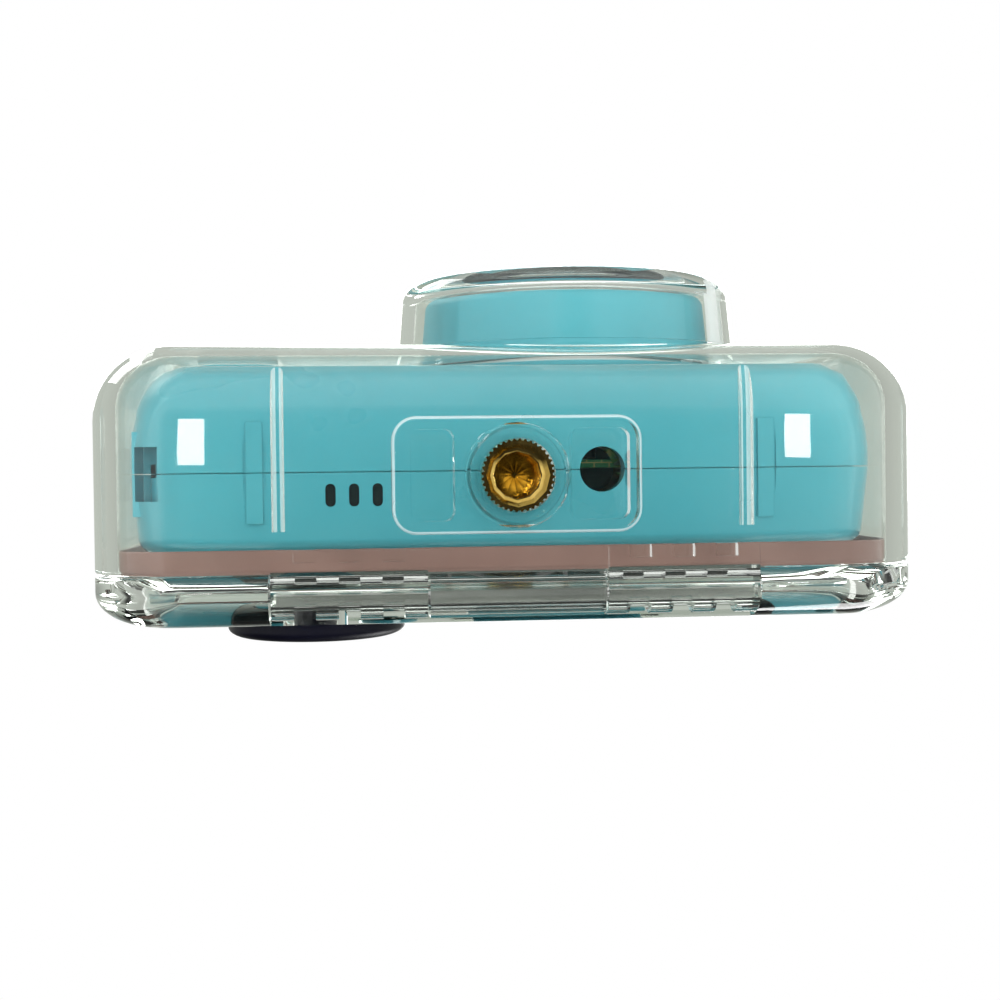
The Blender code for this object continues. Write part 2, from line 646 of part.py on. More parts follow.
def latch_outline():
    """The clip seen along X: an eye, an arm over the door's keeper, a lip and a finger tab."""
    eye = (LATCH_PIVOT_Y, LATCH_PIVOT_Z)
    under = keeper_top() + 2 * FIT_GAP
    lip_y = DOOR_FRONT_Y + KEEPER_THICKNESS + 1.0 * MM
    tip_y = DOOR_BACK_Y + 1.2 * MM
    top = LATCH_PIVOT_Z + LATCH_BARREL_RADIUS
    start = math.degrees(math.asin((under + 0.6 * MM - LATCH_PIVOT_Z) / LATCH_BARREL_RADIUS))
    arm = [(lip_y - 0.8 * MM, under + 0.6 * MM), (lip_y, under), (lip_y + 1.4 * MM, under),
           (tip_y, under + 0.8 * MM), (tip_y + 0.6 * MM, under + 1.8 * MM),
           (tip_y - 1.0 * MM, under + 0.6 * MM + LATCH_PLATE), (LATCH_PIVOT_Y + 4.0 * MM, top)]
    return arm + arc(eye, LATCH_BARREL_RADIUS, 90, 360 + start, 10)


def build_latch_clip(parent):
    half = LATCH_WIDTH / 2
    clip = piece("latch_clip", extruded("X", latch_outline(), LATCH_X - half, LATCH_X + half), "cyan_plastic",
                 (LATCH_X, LATCH_PIVOT_Y, LATCH_PIVOT_Z), parent)
    cut(clip, disc("X", (LATCH_PIVOT_Y, LATCH_PIVOT_Z), LATCH_PIN_RADIUS + SHAFT_GAP,
                   LATCH_X - half - OVERCUT, LATCH_X + half + OVERCUT, SMALL_STEPS))


# Door ----------------------------------------------------------------------


def door_body():
    """From the tongue's front edge, along the seal groove, out to the rim and round to the back."""
    groove = TONGUE_INSET + SEAL_GROOVE_DEPTH
    lip = TONGUE_FRONT_Y + SEAL_GROOVE_LIP
    groove_end = DOOR_FRONT_Y - SEAL_GROOVE_LIP
    rings = [housing_ring(TONGUE_INSET, TONGUE_FRONT_Y), housing_ring(TONGUE_INSET, lip),
             housing_ring(groove, lip), housing_ring(groove, groove_end),
             housing_ring(TONGUE_INSET, groove_end), housing_ring(TONGUE_INSET, DOOR_FRONT_Y),
             housing_ring(0.0, DOOR_FRONT_Y)]
    for inset, depth in reversed(quarter()):
        rings.append(housing_ring(DOOR_EDGE_INSET * inset, DOOR_BACK_Y - DOOR_EDGE_DEPTH * depth))
    return skin(rings)


def door_cavity():
    """The hollow of the door, whose floor rises towards the camera."""
    side = HOUSING_WIDTH / 2 - TONGUE_INSET - TONGUE_WALL
    high = HOUSING_TOP - TONGUE_INSET - TONGUE_WALL
    corner = 5.0 * MM
    edge = 2.5 * MM
    rings = []
    for y, inset in ((TONGUE_FRONT_Y - OVERCUT, 0.0), (DOOR_INNER_Y - edge, 0.0), (DOOR_INNER_Y, edge)):
        rise = DOOR_FLOOR_RISE * (DOOR_INNER_Y - y) / (DOOR_INNER_Y - TONGUE_FRONT_Y)
        low = HOUSING_BOTTOM + DOOR_FLOOR + max(rise, 0.0)
        middle = (low + high) / 2
        rings.append(rounded_ring("Y", (0.0, middle), side - inset, (high - low) / 2 - inset, corner - inset, y))
    return skin(rings)


def hinge_relief_outline():
    """Everything below and before the round that the door's lower edge turns about."""
    front = SEAM_Y - OVERCUT
    under_tongue = min(HINGE_Z, HOUSING_BOTTOM + TONGUE_INSET - OVERCUT / 2)
    sweep = arc((HINGE_Y, HINGE_Z), KNUCKLE_RADIUS, 270, 180, 6)
    return [(front, -OVERCUT), (HINGE_Y, -OVERCUT)] + sweep + [(front, under_tongue)]


def build_housing_door(parent):
    door = piece("housing_door", door_body(), "clear_plastic", (0.0, HINGE_Y, HINGE_Z), parent)
    cut(door, door_cavity())
    half = HOUSING_WIDTH / 2 + OVERCUT
    cut(door, extruded("X", hinge_relief_outline(), -half, half))
    recess_top = HINGE_Z + KNUCKLE_RADIUS + 2 * FIT_GAP
    recess = HINGE_HALF_WIDTH + FIT_GAP
    cut(door, block((-recess, recess), (SEAM_Y, DOOR_BACK_Y + OVERCUT), (-OVERCUT, recess_top)))
    eye = (HINGE_Y, HINGE_Z)
    web = KNUCKLE_RADIUS - 0.2 * MM
    outline = arc(eye, KNUCKLE_RADIUS, 160, 380, 12)
    outline += [(HINGE_Y + web, recess_top + 1.2 * MM), (HINGE_Y - web, recess_top + 1.2 * MM)]
    fuse(door, extruded("X", outline, -BARREL_HALF_WIDTH, BARREL_HALF_WIDTH))
    cut(door, disc("X", eye, PIN_RADIUS + SHAFT_GAP, -recess, recess, SMALL_STEPS))
    front = DOOR_FRONT_Y + 0.2 * MM
    back = front + KEEPER_THICKNESS
    root = HOUSING_TOP - WALL / 2
    keeper = [(front, root), (back, root), (back, keeper_top() - 0.5 * MM), (back - 0.5 * MM, keeper_top()),
              (front + 0.6 * MM, keeper_top())]
    fuse(door, extruded("X", keeper, LATCH_X - KEEPER_LENGTH / 2, LATCH_X + KEEPER_LENGTH / 2))
    collar = PAD_STEM_RADIUS + 2.2 * MM
    fuse(door, disc("Y", (PAD_X, PAD_Z), collar, DOOR_INNER_Y - 1.0 * MM, DOOR_INNER_Y + 0.5 * MM, 24))
    cut(door, disc("Y", (PAD_X, PAD_Z), PAD_STEM_RADIUS + SHAFT_GAP, DOOR_INNER_Y - 2 * OVERCUT,
                   DOOR_BACK_Y + OVERCUT, 24))


def build_door_seal(parent):
    """A silicone ring in the tongue's groove, with a thin flap along the tongue and past its front."""
    lip = TONGUE_FRONT_Y + SEAL_GROOVE_LIP + FIT_GAP / 2
    end = DOOR_FRONT_Y - SEAL_GROOVE_LIP - FIT_GAP / 2
    proud = TONGUE_INSET - SEAL_PROUD
    deep = TONGUE_INSET + SEAL_GROOVE_DEPTH - FIT_GAP / 2
    flap = TONGUE_FRONT_Y - SEAL_FLAP_LENGTH
    under = TONGUE_INSET - SHAFT_GAP
    rounding = (end - lip) / 4
    rings = [housing_ring(under - SEAL_FLAP_THICKNESS, flap), housing_ring(proud, lip + rounding),
             housing_ring(proud, end - rounding), housing_ring(proud + SEAL_PROUD, end),
             housing_ring(deep, end), housing_ring(deep, lip), housing_ring(under, lip),
             housing_ring(under, flap)]
    piece("door_seal", skin(rings, endless=True), "seal_rubber", (0.0, DOOR_FRONT_Y, HOUSING_MID_Z), parent)


def build_pad_cover(parent):
    """The rubber cover outside the door, with its stem through the door's wall."""
    head = DOOR_BACK_Y + FIT_GAP + PAD_TRAVEL
    tip = KEY_FACE_Y + FIT_GAP
    clip_y = DOOR_INNER_Y - 1.0 * MM - FIT_GAP
    groove = PAD_STEM_RADIUS - 0.6 * MM
    profile = [(PAD_STEM_RADIUS - 0.5 * MM, tip), (PAD_STEM_RADIUS, tip + 0.5 * MM),
               (PAD_STEM_RADIUS, clip_y - 1.0 * MM), (groove, clip_y - 1.0 * MM), (groove, clip_y),
               (PAD_STEM_RADIUS, clip_y), (PAD_STEM_RADIUS, head), (PAD_RADIUS - 0.6 * MM, head),
               (PAD_RADIUS, head + 0.6 * MM), (PAD_RADIUS, PAD_BACK_Y - 1.5 * MM),
               (PAD_RADIUS - 0.6 * MM, PAD_BACK_Y - 0.7 * MM), (PAD_RADIUS - 2.2 * MM, PAD_BACK_Y - 0.2 * MM),
               (PAD_RADIUS - 4.2 * MM, PAD_BACK_Y), (4.6 * MM, PAD_BACK_Y), (4.0 * MM, PAD_BACK_Y - 0.7 * MM)]
    piece("pad_cover", turned("Y", (PAD_X, PAD_Z), profile, 24), "black_rubber",
          (PAD_X, DOOR_BACK_Y, PAD_Z), parent)
    clip = tube("Y", (PAD_X, PAD_Z), groove + SHAFT_GAP, PAD_STEM_RADIUS + 1.4 * MM,
                clip_y - 1.0 * MM + SHAFT_GAP, clip_y - SHAFT_GAP, 20)
    piece("pad_cover_clip", clip, "steel", (PAD_X, clip_y, PAD_Z), parent)


# Plungers ------------------------------------------------------------------


def plunger_tip():
    return CAMERA_TOP + BUTTON_PROUD + FIT_GAP


def build_plunger(name, x, cap, shell_parent, parent):
    centre = (x, CAMERA_SEAM_Y)
    cap_low = HOUSING_TOP + BUTTON_TRAVEL + 0.9 * MM
    cap_high = cap_low + PLUNGER_CAP_HEIGHT
    clip_top = SHELL_CEILING - FIT_GAP
    clip_low = clip_top - 0.7 * MM
    groove = PLUNGER_STEM_RADIUS - 0.4 * MM
    stem = PLUNGER_STEM_RADIUS
    spring_well = cap - 1.6 * MM
    profile = [(stem - 0.3 * MM, plunger_tip()), (stem, plunger_tip() + 0.3 * MM), (stem, clip_low),
               (groove, clip_low), (groove, clip_top), (stem, clip_top), (stem, cap_low + 1.4 * MM),
               (spring_well, cap_low + 1.4 * MM), (spring_well, cap_low), (cap, cap_low),
               (cap, cap_high - 1.0 * MM), (cap - 0.3 * MM, cap_high - 0.3 * MM), (cap - 1.0 * MM, cap_high),
               (cap * 0.55, cap_high), (cap * 0.45, cap_high - 0.3 * MM)]
    origin = (x, CAMERA_SEAM_Y, HOUSING_TOP)
    piece(f"{name}_plunger", turned("Z", centre, profile, 20), "cyan_plastic", origin, parent)
    clip = tube("Z", centre, groove + SHAFT_GAP, stem + 1.5 * MM, clip_low + SHAFT_GAP,
                clip_top - SHAFT_GAP, SMALL_STEPS)
    piece(f"{name}_plunger_clip", clip, "steel", origin, parent)
    seal_low = SHELL_CEILING + FIT_GAP / 2
    seal = tube("Z", centre, stem + SHAFT_GAP, seal_radius(), seal_low, seal_low + PLUNGER_SEAL_WIDTH, SMALL_STEPS)
    piece(f"{name}_plunger_seal", seal, "black_rubber", origin, shell_parent)
    low = HOUSING_TOP + SHAFT_GAP
    high = cap_low + 1.4 * MM - SHAFT_GAP
    piece(f"{name}_plunger_spring", coil(centre, stem + 1.0 * MM, low, high, 3), "steel", origin, parent)


def coil(centre, radius, low, high, turns):
    """A round-wire spring with flat closed ends, standing along Z."""
    steps_per_turn = 10
    count = turns * steps_per_turn
    wire = SPRING_WIRE / 2
    rings = []
    for step in range(count + 1):
        angle = 2 * math.pi * step / steps_per_turn
        height = low + wire + (high - low - 2 * wire) * step / count
        outward = Vector((math.cos(angle), math.sin(angle), 0.0))
        middle = Vector((centre[0], centre[1], height)) + outward * radius
        ring = []
        for side in range(5):
            turn = side * 2 * math.pi / 5
            ring.append(middle + outward * wire * math.cos(turn) + Vector((0, 0, wire * math.sin(turn))))
        rings.append(ring)
    return skin(rings)


# Camera covers -------------------------------------------------------------


def camera_ring(inset, y):
    radius = max(CAMERA_CORNER_RADIUS - inset, 1.0 * MM)
    return rounded_ring("Y", (0.0, CAMERA_MID_Z), CAMERA_WIDTH / 2 - inset, CAMERA_HEIGHT / 2 - inset, radius, y)


def front_cover_body():
    outer = [camera_ring(FRONT_ROUND_INSET * inset, CAMERA_FRONT_Y + FRONT_ROUND_DEPTH * depth)
             for inset, depth in quarter(5)]
    inner_depth = FRONT_ROUND_DEPTH - COVER_WALL
    inner = [camera_ring(COVER_WALL + FRONT_ROUND_INSET * inset,
                         CAMERA_FRONT_Y + COVER_WALL + inner_depth * depth)
             for inset, depth in reversed(quarter(4))]
    seam = CAMERA_SEAM_Y - FIT_GAP / 2
    return skin(outer + [camera_ring(0.0, seam), camera_ring(COVER_WALL, seam)] + inner)


def rear_cover_body():
    seam = CAMERA_SEAM_Y + FIT_GAP / 2
    side_end = CAMERA_BACK_Y - BACK_EDGE
    inner_back = CAMERA_BACK_Y - COVER_WALL
    rings = [camera_ring(COVER_WALL + BACK_DRAFT + 0.6 * MM, inner_back),
             camera_ring(COVER_WALL + BACK_DRAFT, side_end - 0.4 * MM), camera_ring(COVER_WALL, seam),
             camera_ring(0.0, seam), camera_ring(BACK_DRAFT, side_end)]
    for inset, depth in reversed(quarter(3)[:-1]):
        rings.append(camera_ring(BACK_DRAFT + BACK_EDGE * inset, CAMERA_BACK_Y - BACK_EDGE * depth))
    return skin(rings)


def lining_inset(y):
    """How far inside the camera's widest outline its covers' inner surface lies at y."""
    if y > CAMERA_SEAM_Y:
        share = (y - CAMERA_SEAM_Y) / (CAMERA_BACK_Y - BACK_EDGE - CAMERA_SEAM_Y)
        return COVER_WALL + BACK_DRAFT * share
    share = 1 - (y - CAMERA_FRONT_Y - COVER_WALL) / (FRONT_ROUND_DEPTH - COVER_WALL)
    share = min(max(share, 0.0), 1.0)
    return COVER_WALL + FRONT_ROUND_INSET * (1 - math.sqrt(1 - share ** 2))


def lining_gap(middle_y, reach):
    """The inset that clears the lining everywhere within reach of middle_y."""
    return max(lining_inset(middle_y - reach), lining_inset(middle_y + reach)) + 1.5 * FIT_GAP


def feet(cover, front, back):
    """The part of each moulded foot that lies on this cover."""
    for x in (-FOOT_X, FOOT_X):
        fuse(cover, block((x - FOOT_WIDTH / 2, x + FOOT_WIDTH / 2), (front, back),
                          (CAMERA_BOTTOM - FOOT_HEIGHT, CAMERA_BOTTOM + COVER_WALL / 2)))


def strap_pocket(cover, front, back):
    """A solid lining in the lower corner, then the slot cut into it and out through the side."""
    low, high = STRAP_SLOT_X
    reach = STRAP_SLOT_LENGTH / 2 + COVER_WALL
    slot = STRAP_SLOT_LENGTH / 2
    deep = CAMERA_BOTTOM + STRAP_SLOT_DEPTH
    fuse(cover, block((low - 0.3 * MM, high + COVER_WALL),
                      (max(front, CAMERA_SEAM_Y - reach), min(back, CAMERA_SEAM_Y + reach)),
                      (CAMERA_BOTTOM + 4.0 * MM, deep + COVER_WALL)))
    cut(cover, block((low, high), (CAMERA_SEAM_Y - slot, CAMERA_SEAM_Y + slot), (CAMERA_BOTTOM - OVERCUT, deep)))
    cut(cover, block((low - 2 * OVERCUT - CAMERA_CORNER_RADIUS, low + OVERCUT),
                     (CAMERA_SEAM_Y - slot, CAMERA_SEAM_Y + slot), (deep - 4.0 * MM, deep)))


def top_holes(cover):
    for _, x, _, button in plunger_sizes():
        cut(cover, disc("Z", (x, CAMERA_SEAM_Y), button + FIT_GAP, CAMERA_TOP - COVER_WALL - OVERCUT,
                        CAMERA_TOP + OVERCUT, 24))


def screw_places():
    x = CAMERA_WIDTH / 2 - SCREW_SIDE_MARGIN
    z = CAMERA_HEIGHT / 2 - SCREW_END_MARGIN
    return [(side * x, CAMERA_MID_Z + up * z) for up in (-1, 1) for side in (-1, 1)]


def build_front_cover(parent):
    cover = piece("camera_front_cover", front_cover_body(), "cyan_plastic",
                  (0.0, CAMERA_SEAM_Y, CAMERA_BOTTOM), parent)
    seam = CAMERA_SEAM_Y - FIT_GAP / 2
    feet(cover, CAMERA_SEAM_Y - FOOT_LENGTH / 2, seam)
    strap_pocket(cover, -1.0, seam)
    for x, z in screw_places():
        fuse(cover, disc("Y", (x, z), SCREW_SHANK_RADIUS + 1.3 * MM, CAMERA_FRONT_Y + 5.5 * MM, seam, 12))
        cut(cover, disc("Y", (x, z), SCREW_SHANK_RADIUS + SHAFT_GAP, seam - 4.2 * MM, seam + OVERCUT, 10))
    top_holes(cover)
    cut(cover, disc("Z", (SOCKET_X, CAMERA_SEAM_Y), SOCKET_RADIUS, CAMERA_BOTTOM - OVERCUT,
                    CAMERA_BOTTOM + COVER_WALL + OVERCUT, 24))
    cut(cover, disc("Y", (LENS_X, LENS_Z), HOLDER_RADIUS + FIT_GAP, CAMERA_FRONT_Y - OVERCUT,
                    CAMERA_FRONT_Y + COVER_WALL + OVERCUT, 24))
    cut(cover, disc("Y", (FLASH_X, FLASH_Z), FLASH_RADIUS + FIT_GAP / 2, CAMERA_FRONT_Y - OVERCUT,
                    CAMERA_FRONT_Y + COVER_WALL + OVERCUT, 20))


def build_rear_cover(parent):
    cover = piece("camera_rear_cover", rear_cover_body(), "cyan_plastic",
                  (0.0, CAMERA_SEAM_Y, CAMERA_BOTTOM), parent)
    seam = CAMERA_SEAM_Y + FIT_GAP / 2
    feet(cover, seam, CAMERA_SEAM_Y + FOOT_LENGTH / 2)
    strap_pocket(cover, seam, 1.0)
    for x, z in screw_places():
        fuse(cover, disc("Y", (x, z), SCREW_HEAD_RADIUS + 1.0 * MM, seam + 0.4 * MM,
                         CAMERA_BACK_Y - COVER_WALL / 2, 12))
        cut(cover, disc("Y", (x, z), SCREW_HEAD_RADIUS + SHAFT_GAP, SCREW_HEAD_Y - FIT_GAP,
                        CAMERA_BACK_Y + OVERCUT, 12))
        cut(cover, disc("Y", (x, z), SCREW_SHANK_RADIUS + SHAFT_GAP, seam - OVERCUT,
                        SCREW_HEAD_Y + OVERCUT, 10))
    top_holes(cover)
    cut(cover, disc("Z", (SOCKET_X, CAMERA_SEAM_Y), SOCKET_RADIUS, CAMERA_BOTTOM - OVERCUT,
                    CAMERA_BOTTOM + COVER_WALL + OVERCUT, 24))
    for index in (-1, 0, 1):
        x = SOUND_SLOT_X + index * SOUND_SLOT_PITCH
        cut(cover, slab("Z", (x, SOUND_SLOT_Y), 0.6 * MM, 1.35 * MM, 0.55 * MM, CAMERA_BOTTOM - OVERCUT,
                        CAMERA_BOTTOM + COVER_WALL + OVERCUT))
    cut(cover, slab("Y", (0.0, CAMERA_MID_Z), PANEL_WIDTH / 2 + FIT_GAP / 2, PANEL_HEIGHT / 2 + FIT_GAP / 2,
                    PANEL_CORNER + FIT_GAP / 2, PANEL_FRONT_Y - FIT_GAP, CAMERA_BACK_Y + OVERCUT))
    cut(cover, block((DISPLAY_X - DISPLAY_WIDTH / 2 - FIT_GAP, DISPLAY_X + DISPLAY_WIDTH / 2 + FIT_GAP),
                     (CAMERA_BACK_Y - 2 * COVER_WALL, CAMERA_BACK_Y + OVERCUT),
                     (CAMERA_MID_Z - DISPLAY_HEIGHT / 2 - FIT_GAP, CAMERA_MID_Z + DISPLAY_HEIGHT / 2 + FIT_GAP)))
    cut(cover, disc("Y", (PAD_X, PAD_Z), KEY_RING_RADIUS + FIT_GAP, CAMERA_BACK_Y - 2 * COVER_WALL,
                    CAMERA_BACK_Y + OVERCUT, 28))


def build_case_screws(parent):
    head = SCREW_HEAD_Y
    for number, (x, z) in enumerate(screw_places(), start=1):
        profile = [(SCREW_SHANK_RADIUS * 0.5, head - SCREW_LENGTH + 0.5 * MM),
                   (SCREW_SHANK_RADIUS, head - SCREW_LENGTH + 1.2 * MM), (SCREW_SHANK_RADIUS, head),
                   (SCREW_HEAD_RADIUS, head), (SCREW_HEAD_RADIUS, head + 0.8 * SCREW_HEAD_HEIGHT),
                   (SCREW_HEAD_RADIUS * 0.7, head + SCREW_HEAD_HEIGHT)]
        screw = piece(f"case_screw_{number}", turned("Y", (x, z), profile, 12), "steel", (x, head, z), parent)
        arm = 1.1 * MM
        half = 0.22 * MM
        depth = (head + 0.4 * SCREW_HEAD_HEIGHT, head + 2 * SCREW_HEAD_HEIGHT)
        cross = [(x + u, z + v) for u, v in (
            (arm, -half), (arm, half), (half, half), (half, arm), (-half, arm), (-half, half),
            (-arm, half), (-arm, -half), (-half, -half), (-half, -arm), (half, -arm), (half, -half))]
        cut(screw, extruded("Y", cross, *depth))


def build_grip(parent):
    """The raised grip on the front, following the cover's rounded end."""
    centre = (GRIP_X, CAMERA_MID_Z - 2.0 * MM)
    start = CAMERA_FRONT_Y - FIT_GAP - 0.5 * MM
    mesh = slab("Y", centre, GRIP_WIDTH / 2, GRIP_HEIGHT / 2, 3.0 * MM, start,
                CAMERA_FRONT_Y - FIT_GAP + 0.2 * MM, edge=0.2 * MM)
    piece("front_grip", mesh, "cyan_plastic", (centre[0], CAMERA_FRONT_Y, centre[1]), parent)


def build_lens(parent):
    centre = (LENS_X, LENS_Z)
    base = CAMERA_FRONT_Y - FIT_GAP
    tip = BARREL_RADIUS - BARREL_TAPER
    edge = 1.5 * MM
    origin = (LENS_X, CAMERA_FRONT_Y, LENS_Z)
    outer = [(tip - edge * inset, BARREL_FRONT_Y + edge * depth) for inset, depth in quarter(3)]
    inner = tip - BARREL_WALL
    barrel = outer + [(BARREL_RADIUS, base), (inner, base), (inner, BARREL_FRONT_Y + 0.6 * MM),
                      (inner + 0.5 * MM, BARREL_FRONT_Y)]
    piece("lens_barrel", turned("Y", centre, barrel, PORT_STEPS, endless=True), "cyan_plastic", origin, parent)
    face_front = BARREL_FRONT_Y + FACE_SET_BACK
    face_back = face_front + FACE_THICKNESS
    mouth = LENS_WINDOW_RADIUS + FIT_GAP / 2
    face = [(inner - FIT_GAP / 2, face_back), (inner - FIT_GAP / 2, face_front), (inner - 2.5 * MM, face_front),
            (inner - 3.0 * MM, face_front + 0.6 * MM), (mouth + 2.2 * MM, face_front + 0.6 * MM),
            (mouth + 1.6 * MM, face_front), (mouth, face_front), (mouth, face_back - 0.8 * MM),
            (mouth - 1.6 * MM, face_back - 0.8 * MM), (mouth - 1.6 * MM, face_back)]
    piece("lens_face", turned("Y", centre, face, 32, endless=True), "black_plastic", origin, parent)
    back = face_back - 0.8 * MM - SHAFT_GAP
    window = [(LENS_WINDOW_RADIUS - 0.3 * MM, face_front + 0.2 * MM),
              (LENS_WINDOW_RADIUS, face_front + 0.5 * MM), (LENS_WINDOW_RADIUS, back)]
    piece("lens_window", turned("Y", centre, window, 32), "glass", origin, parent)
    holder_front = face_back + FIT_GAP
    holder_back = SENSOR_FRONT_Y - FIT_GAP
    step = HOLDER_BORE - 0.9 * MM
    middle = (holder_front + holder_back) / 2
    holder = [(HOLDER_RADIUS, holder_front), (HOLDER_RADIUS, holder_back), (HOLDER_BORE + 1.0 * MM, holder_back),
              (HOLDER_BORE + 1.0 * MM, holder_back - 1.4 * MM), (step, holder_back - 1.4 * MM), (step, middle),
              (HOLDER_BORE, middle), (HOLDER_BORE, holder_front)]
    piece("lens_holder", turned("Y", centre, holder, 24, endless=True), "black_plastic", origin, parent)
    glass = HOLDER_BORE - SHAFT_GAP
    front_lens = [(glass * 0.5, holder_front + 0.1 * MM), (glass * 0.85, holder_front + 0.4 * MM),
                  (glass, holder_front + 0.8 * MM), (glass, holder_front + 2.2 * MM)]
    piece("lens_element_front", turned("Y", centre, front_lens, 20), "glass", origin, parent)
    rear_lens = [(glass, middle - 2.2 * MM), (glass, middle - 0.2 * MM), (glass * 0.6, middle - 0.2 * MM)]
    piece("lens_element_rear", turned("Y", centre, rear_lens, 20), "glass", origin, parent)


def build_electronics(parent):
    """The pieces between the covers, each in its own space."""
    half = SENSOR_SIZE / 2
    front = BOARD_FRONT_Y
    back = front + BOARD_THICKNESS + FIT_GAP
    right = CAMERA_WIDTH / 2 - BOARD_SIDE_GAP
    left = -right
    low = nut_low() + NUT_HEIGHT + BOARD_FOOT_GAP
    high = CAMERA_TOP - BOARD_HEAD_GAP
    shutter_top = switch_top(SHUTTER_BUTTON_RADIUS)
    power_top = switch_top(POWER_BUTTON_RADIUS)
    battery_top = shutter_top - SWITCH_HEIGHT - BATTERY_HEAD_GAP
    pad = KEY_RING_RADIUS + 1.0 * MM
    places = {
        "main_board": ((right - BOARD_WIDTH, right), (front, front + BOARD_THICKNESS), (low, high), "board_green"),
        "image_sensor": ((LENS_X - half, LENS_X + half), (SENSOR_FRONT_Y, front - FIT_GAP),
                         (LENS_Z - half, LENS_Z + half), "black_plastic"),
        "battery": ((left, left + BATTERY_WIDTH), (front - 1.0 * MM - BATTERY_DEPTH, front - 1.0 * MM),
                    (low, battery_top), "battery_wrap"),
        "key_board": ((PAD_X - pad, PAD_X + pad), (key_board_y(), key_board_y() + BOARD_THICKNESS),
                      (PAD_Z - pad, PAD_Z + pad), "board_green"),
        "shutter_switch": ((SHUTTER_X - 3.0 * MM, SHUTTER_X + 3.0 * MM),
                           (CAMERA_SEAM_Y - 3.0 * MM, CAMERA_SEAM_Y + 3.0 * MM),
                           (shutter_top - SWITCH_HEIGHT, shutter_top), "black_plastic"),
        "power_switch": ((POWER_X - 2.0 * MM, POWER_X + 2.0 * MM),
                         (CAMERA_SEAM_Y + 0.4 * MM, CAMERA_SEAM_Y + 4.0 * MM),
                         (power_top - SWITCH_HEIGHT, power_top), "black_plastic"),
        "card_slot": ((right - 18.0 * MM, right - 2.0 * MM), (back, back + 0.5 * MM),
                      (high - 30.0 * MM, high - 14.0 * MM), "steel"),
        "memory_card": ((right - 14.0 * MM, right + 1.0 * MM), (back + 0.5 * MM + FIT_GAP, back + 1.5 * MM),
                        (high - 27.5 * MM, high - 16.5 * MM), "black_plastic"),
        "usb_port": ((right - 8.0 * MM, right - 0.5 * MM), (back, back + 2.6 * MM),
                     (high - 11.0 * MM, high - 3.5 * MM), "steel"),
        "microphone": ((-6.0 * MM, -2.0 * MM), (back, back + 1.4 * MM), (low + 2.0 * MM, low + 6.0 * MM), "steel"),
    }
    for name, (across, deep, up, colour) in places.items():
        middle = [sum(pair) / 2 for pair in (across, deep, up)]
        mesh = slab("Y", (middle[0], middle[2]), (across[1] - across[0]) / 2, (up[1] - up[0]) / 2, 0.6 * MM,
                    deep[0], deep[1])
        piece(name, mesh, colour, middle, parent)


def flange_top(radius):
    """The upper face of the flange that keeps a top button in, under the covers."""
    return CAMERA_TOP - lining_gap(CAMERA_SEAM_Y, radius + FLANGE_WIDTH)


def switch_top(radius):
    return flange_top(radius) - FLANGE_HEIGHT - BUTTON_TRAVEL - FIT_GAP


def key_board_y():
    return PANEL_BACK_Y - KEY_DEPTH - KEY_TRAVEL - FIT_GAP - BOARD_THICKNESS


def nut_low():
    return CAMERA_BOTTOM + lining_gap(CAMERA_SEAM_Y, SOCKET_RADIUS + NUT_WALL)


def build_small_inside(parent):
    half = 3.4 * MM
    low = CAMERA_BOTTOM + lining_gap(SOUND_SLOT_Y, half)
    centre = (SOUND_SLOT_X, SOUND_SLOT_Y)
    speaker = slab("Z", centre, 6.5 * MM, half, 1.0 * MM, low, low + 2.6 * MM, edge=0.3 * MM)
    piece("speaker", speaker, "black_plastic", (centre[0], centre[1], low), parent)
    low = nut_low()
    nut = tube("Z", (SOCKET_X, CAMERA_SEAM_Y), SOCKET_RADIUS, SOCKET_RADIUS + NUT_WALL, low, low + NUT_HEIGHT, 20)
    piece("camera_tripod_nut", nut, "brass", (SOCKET_X, CAMERA_SEAM_Y, low), parent)
    flash = disc("Y", (FLASH_X, FLASH_Z), FLASH_RADIUS, CAMERA_FRONT_Y - 0.2 * MM, CAMERA_FRONT_Y + 1.4 * MM, 20)
    piece("flash_window", flash, "white_plastic", (FLASH_X, CAMERA_FRONT_Y, FLASH_Z), parent)
    start = CAMERA_FRONT_Y + COVER_WALL + FIT_GAP
    led = slab("Y", (FLASH_X, FLASH_Z), 1.8 * MM, 1.8 * MM, 0.4 * MM, start, start + 1.0 * MM)
    piece("flash_led", led, "white_plastic", (FLASH_X, start, FLASH_Z), parent)


def build_rear_panel(parent):
    panel = piece("rear_panel", slab("Y", (0.0, CAMERA_MID_Z), PANEL_WIDTH / 2, PANEL_HEIGHT / 2, PANEL_CORNER,
                                     PANEL_FRONT_Y, PANEL_BACK_Y, edge=0.25 * MM, steps=4), "black_plastic",
                  (0.0, PANEL_BACK_Y, CAMERA_MID_Z), parent)
    cut(panel, disc("Y", (PAD_X, PAD_Z), KEY_RING_RADIUS + FIT_GAP, PANEL_FRONT_Y - OVERCUT,
                    PANEL_BACK_Y + OVERCUT, 28))
    end = PANEL_FRONT_Y - FIT_GAP
    display = slab("Y", (DISPLAY_X, CAMERA_MID_Z), DISPLAY_WIDTH / 2, DISPLAY_HEIGHT / 2, 0.8 * MM,
                   end - DISPLAY_THICKNESS, end)
    piece("display_module", display, "glass", (DISPLAY_X, end, CAMERA_MID_Z), parent)


def key_floor_y():
    """The front ends of the keys, which leave the key board room for their travel."""
    return PANEL_BACK_Y - KEY_DEPTH


def build_ok_key(parent):
    profile = [(OK_KEY_RADIUS, key_floor_y()), (OK_KEY_RADIUS, KEY_FACE_Y - 0.4 * MM),
               (OK_KEY_RADIUS - 0.4 * MM, KEY_FACE_Y)]
    piece("ok_key", turned("Y", (PAD_X, PAD_Z), profile, 24), "cyan_plastic", (PAD_X, KEY_FACE_Y, PAD_Z), parent)


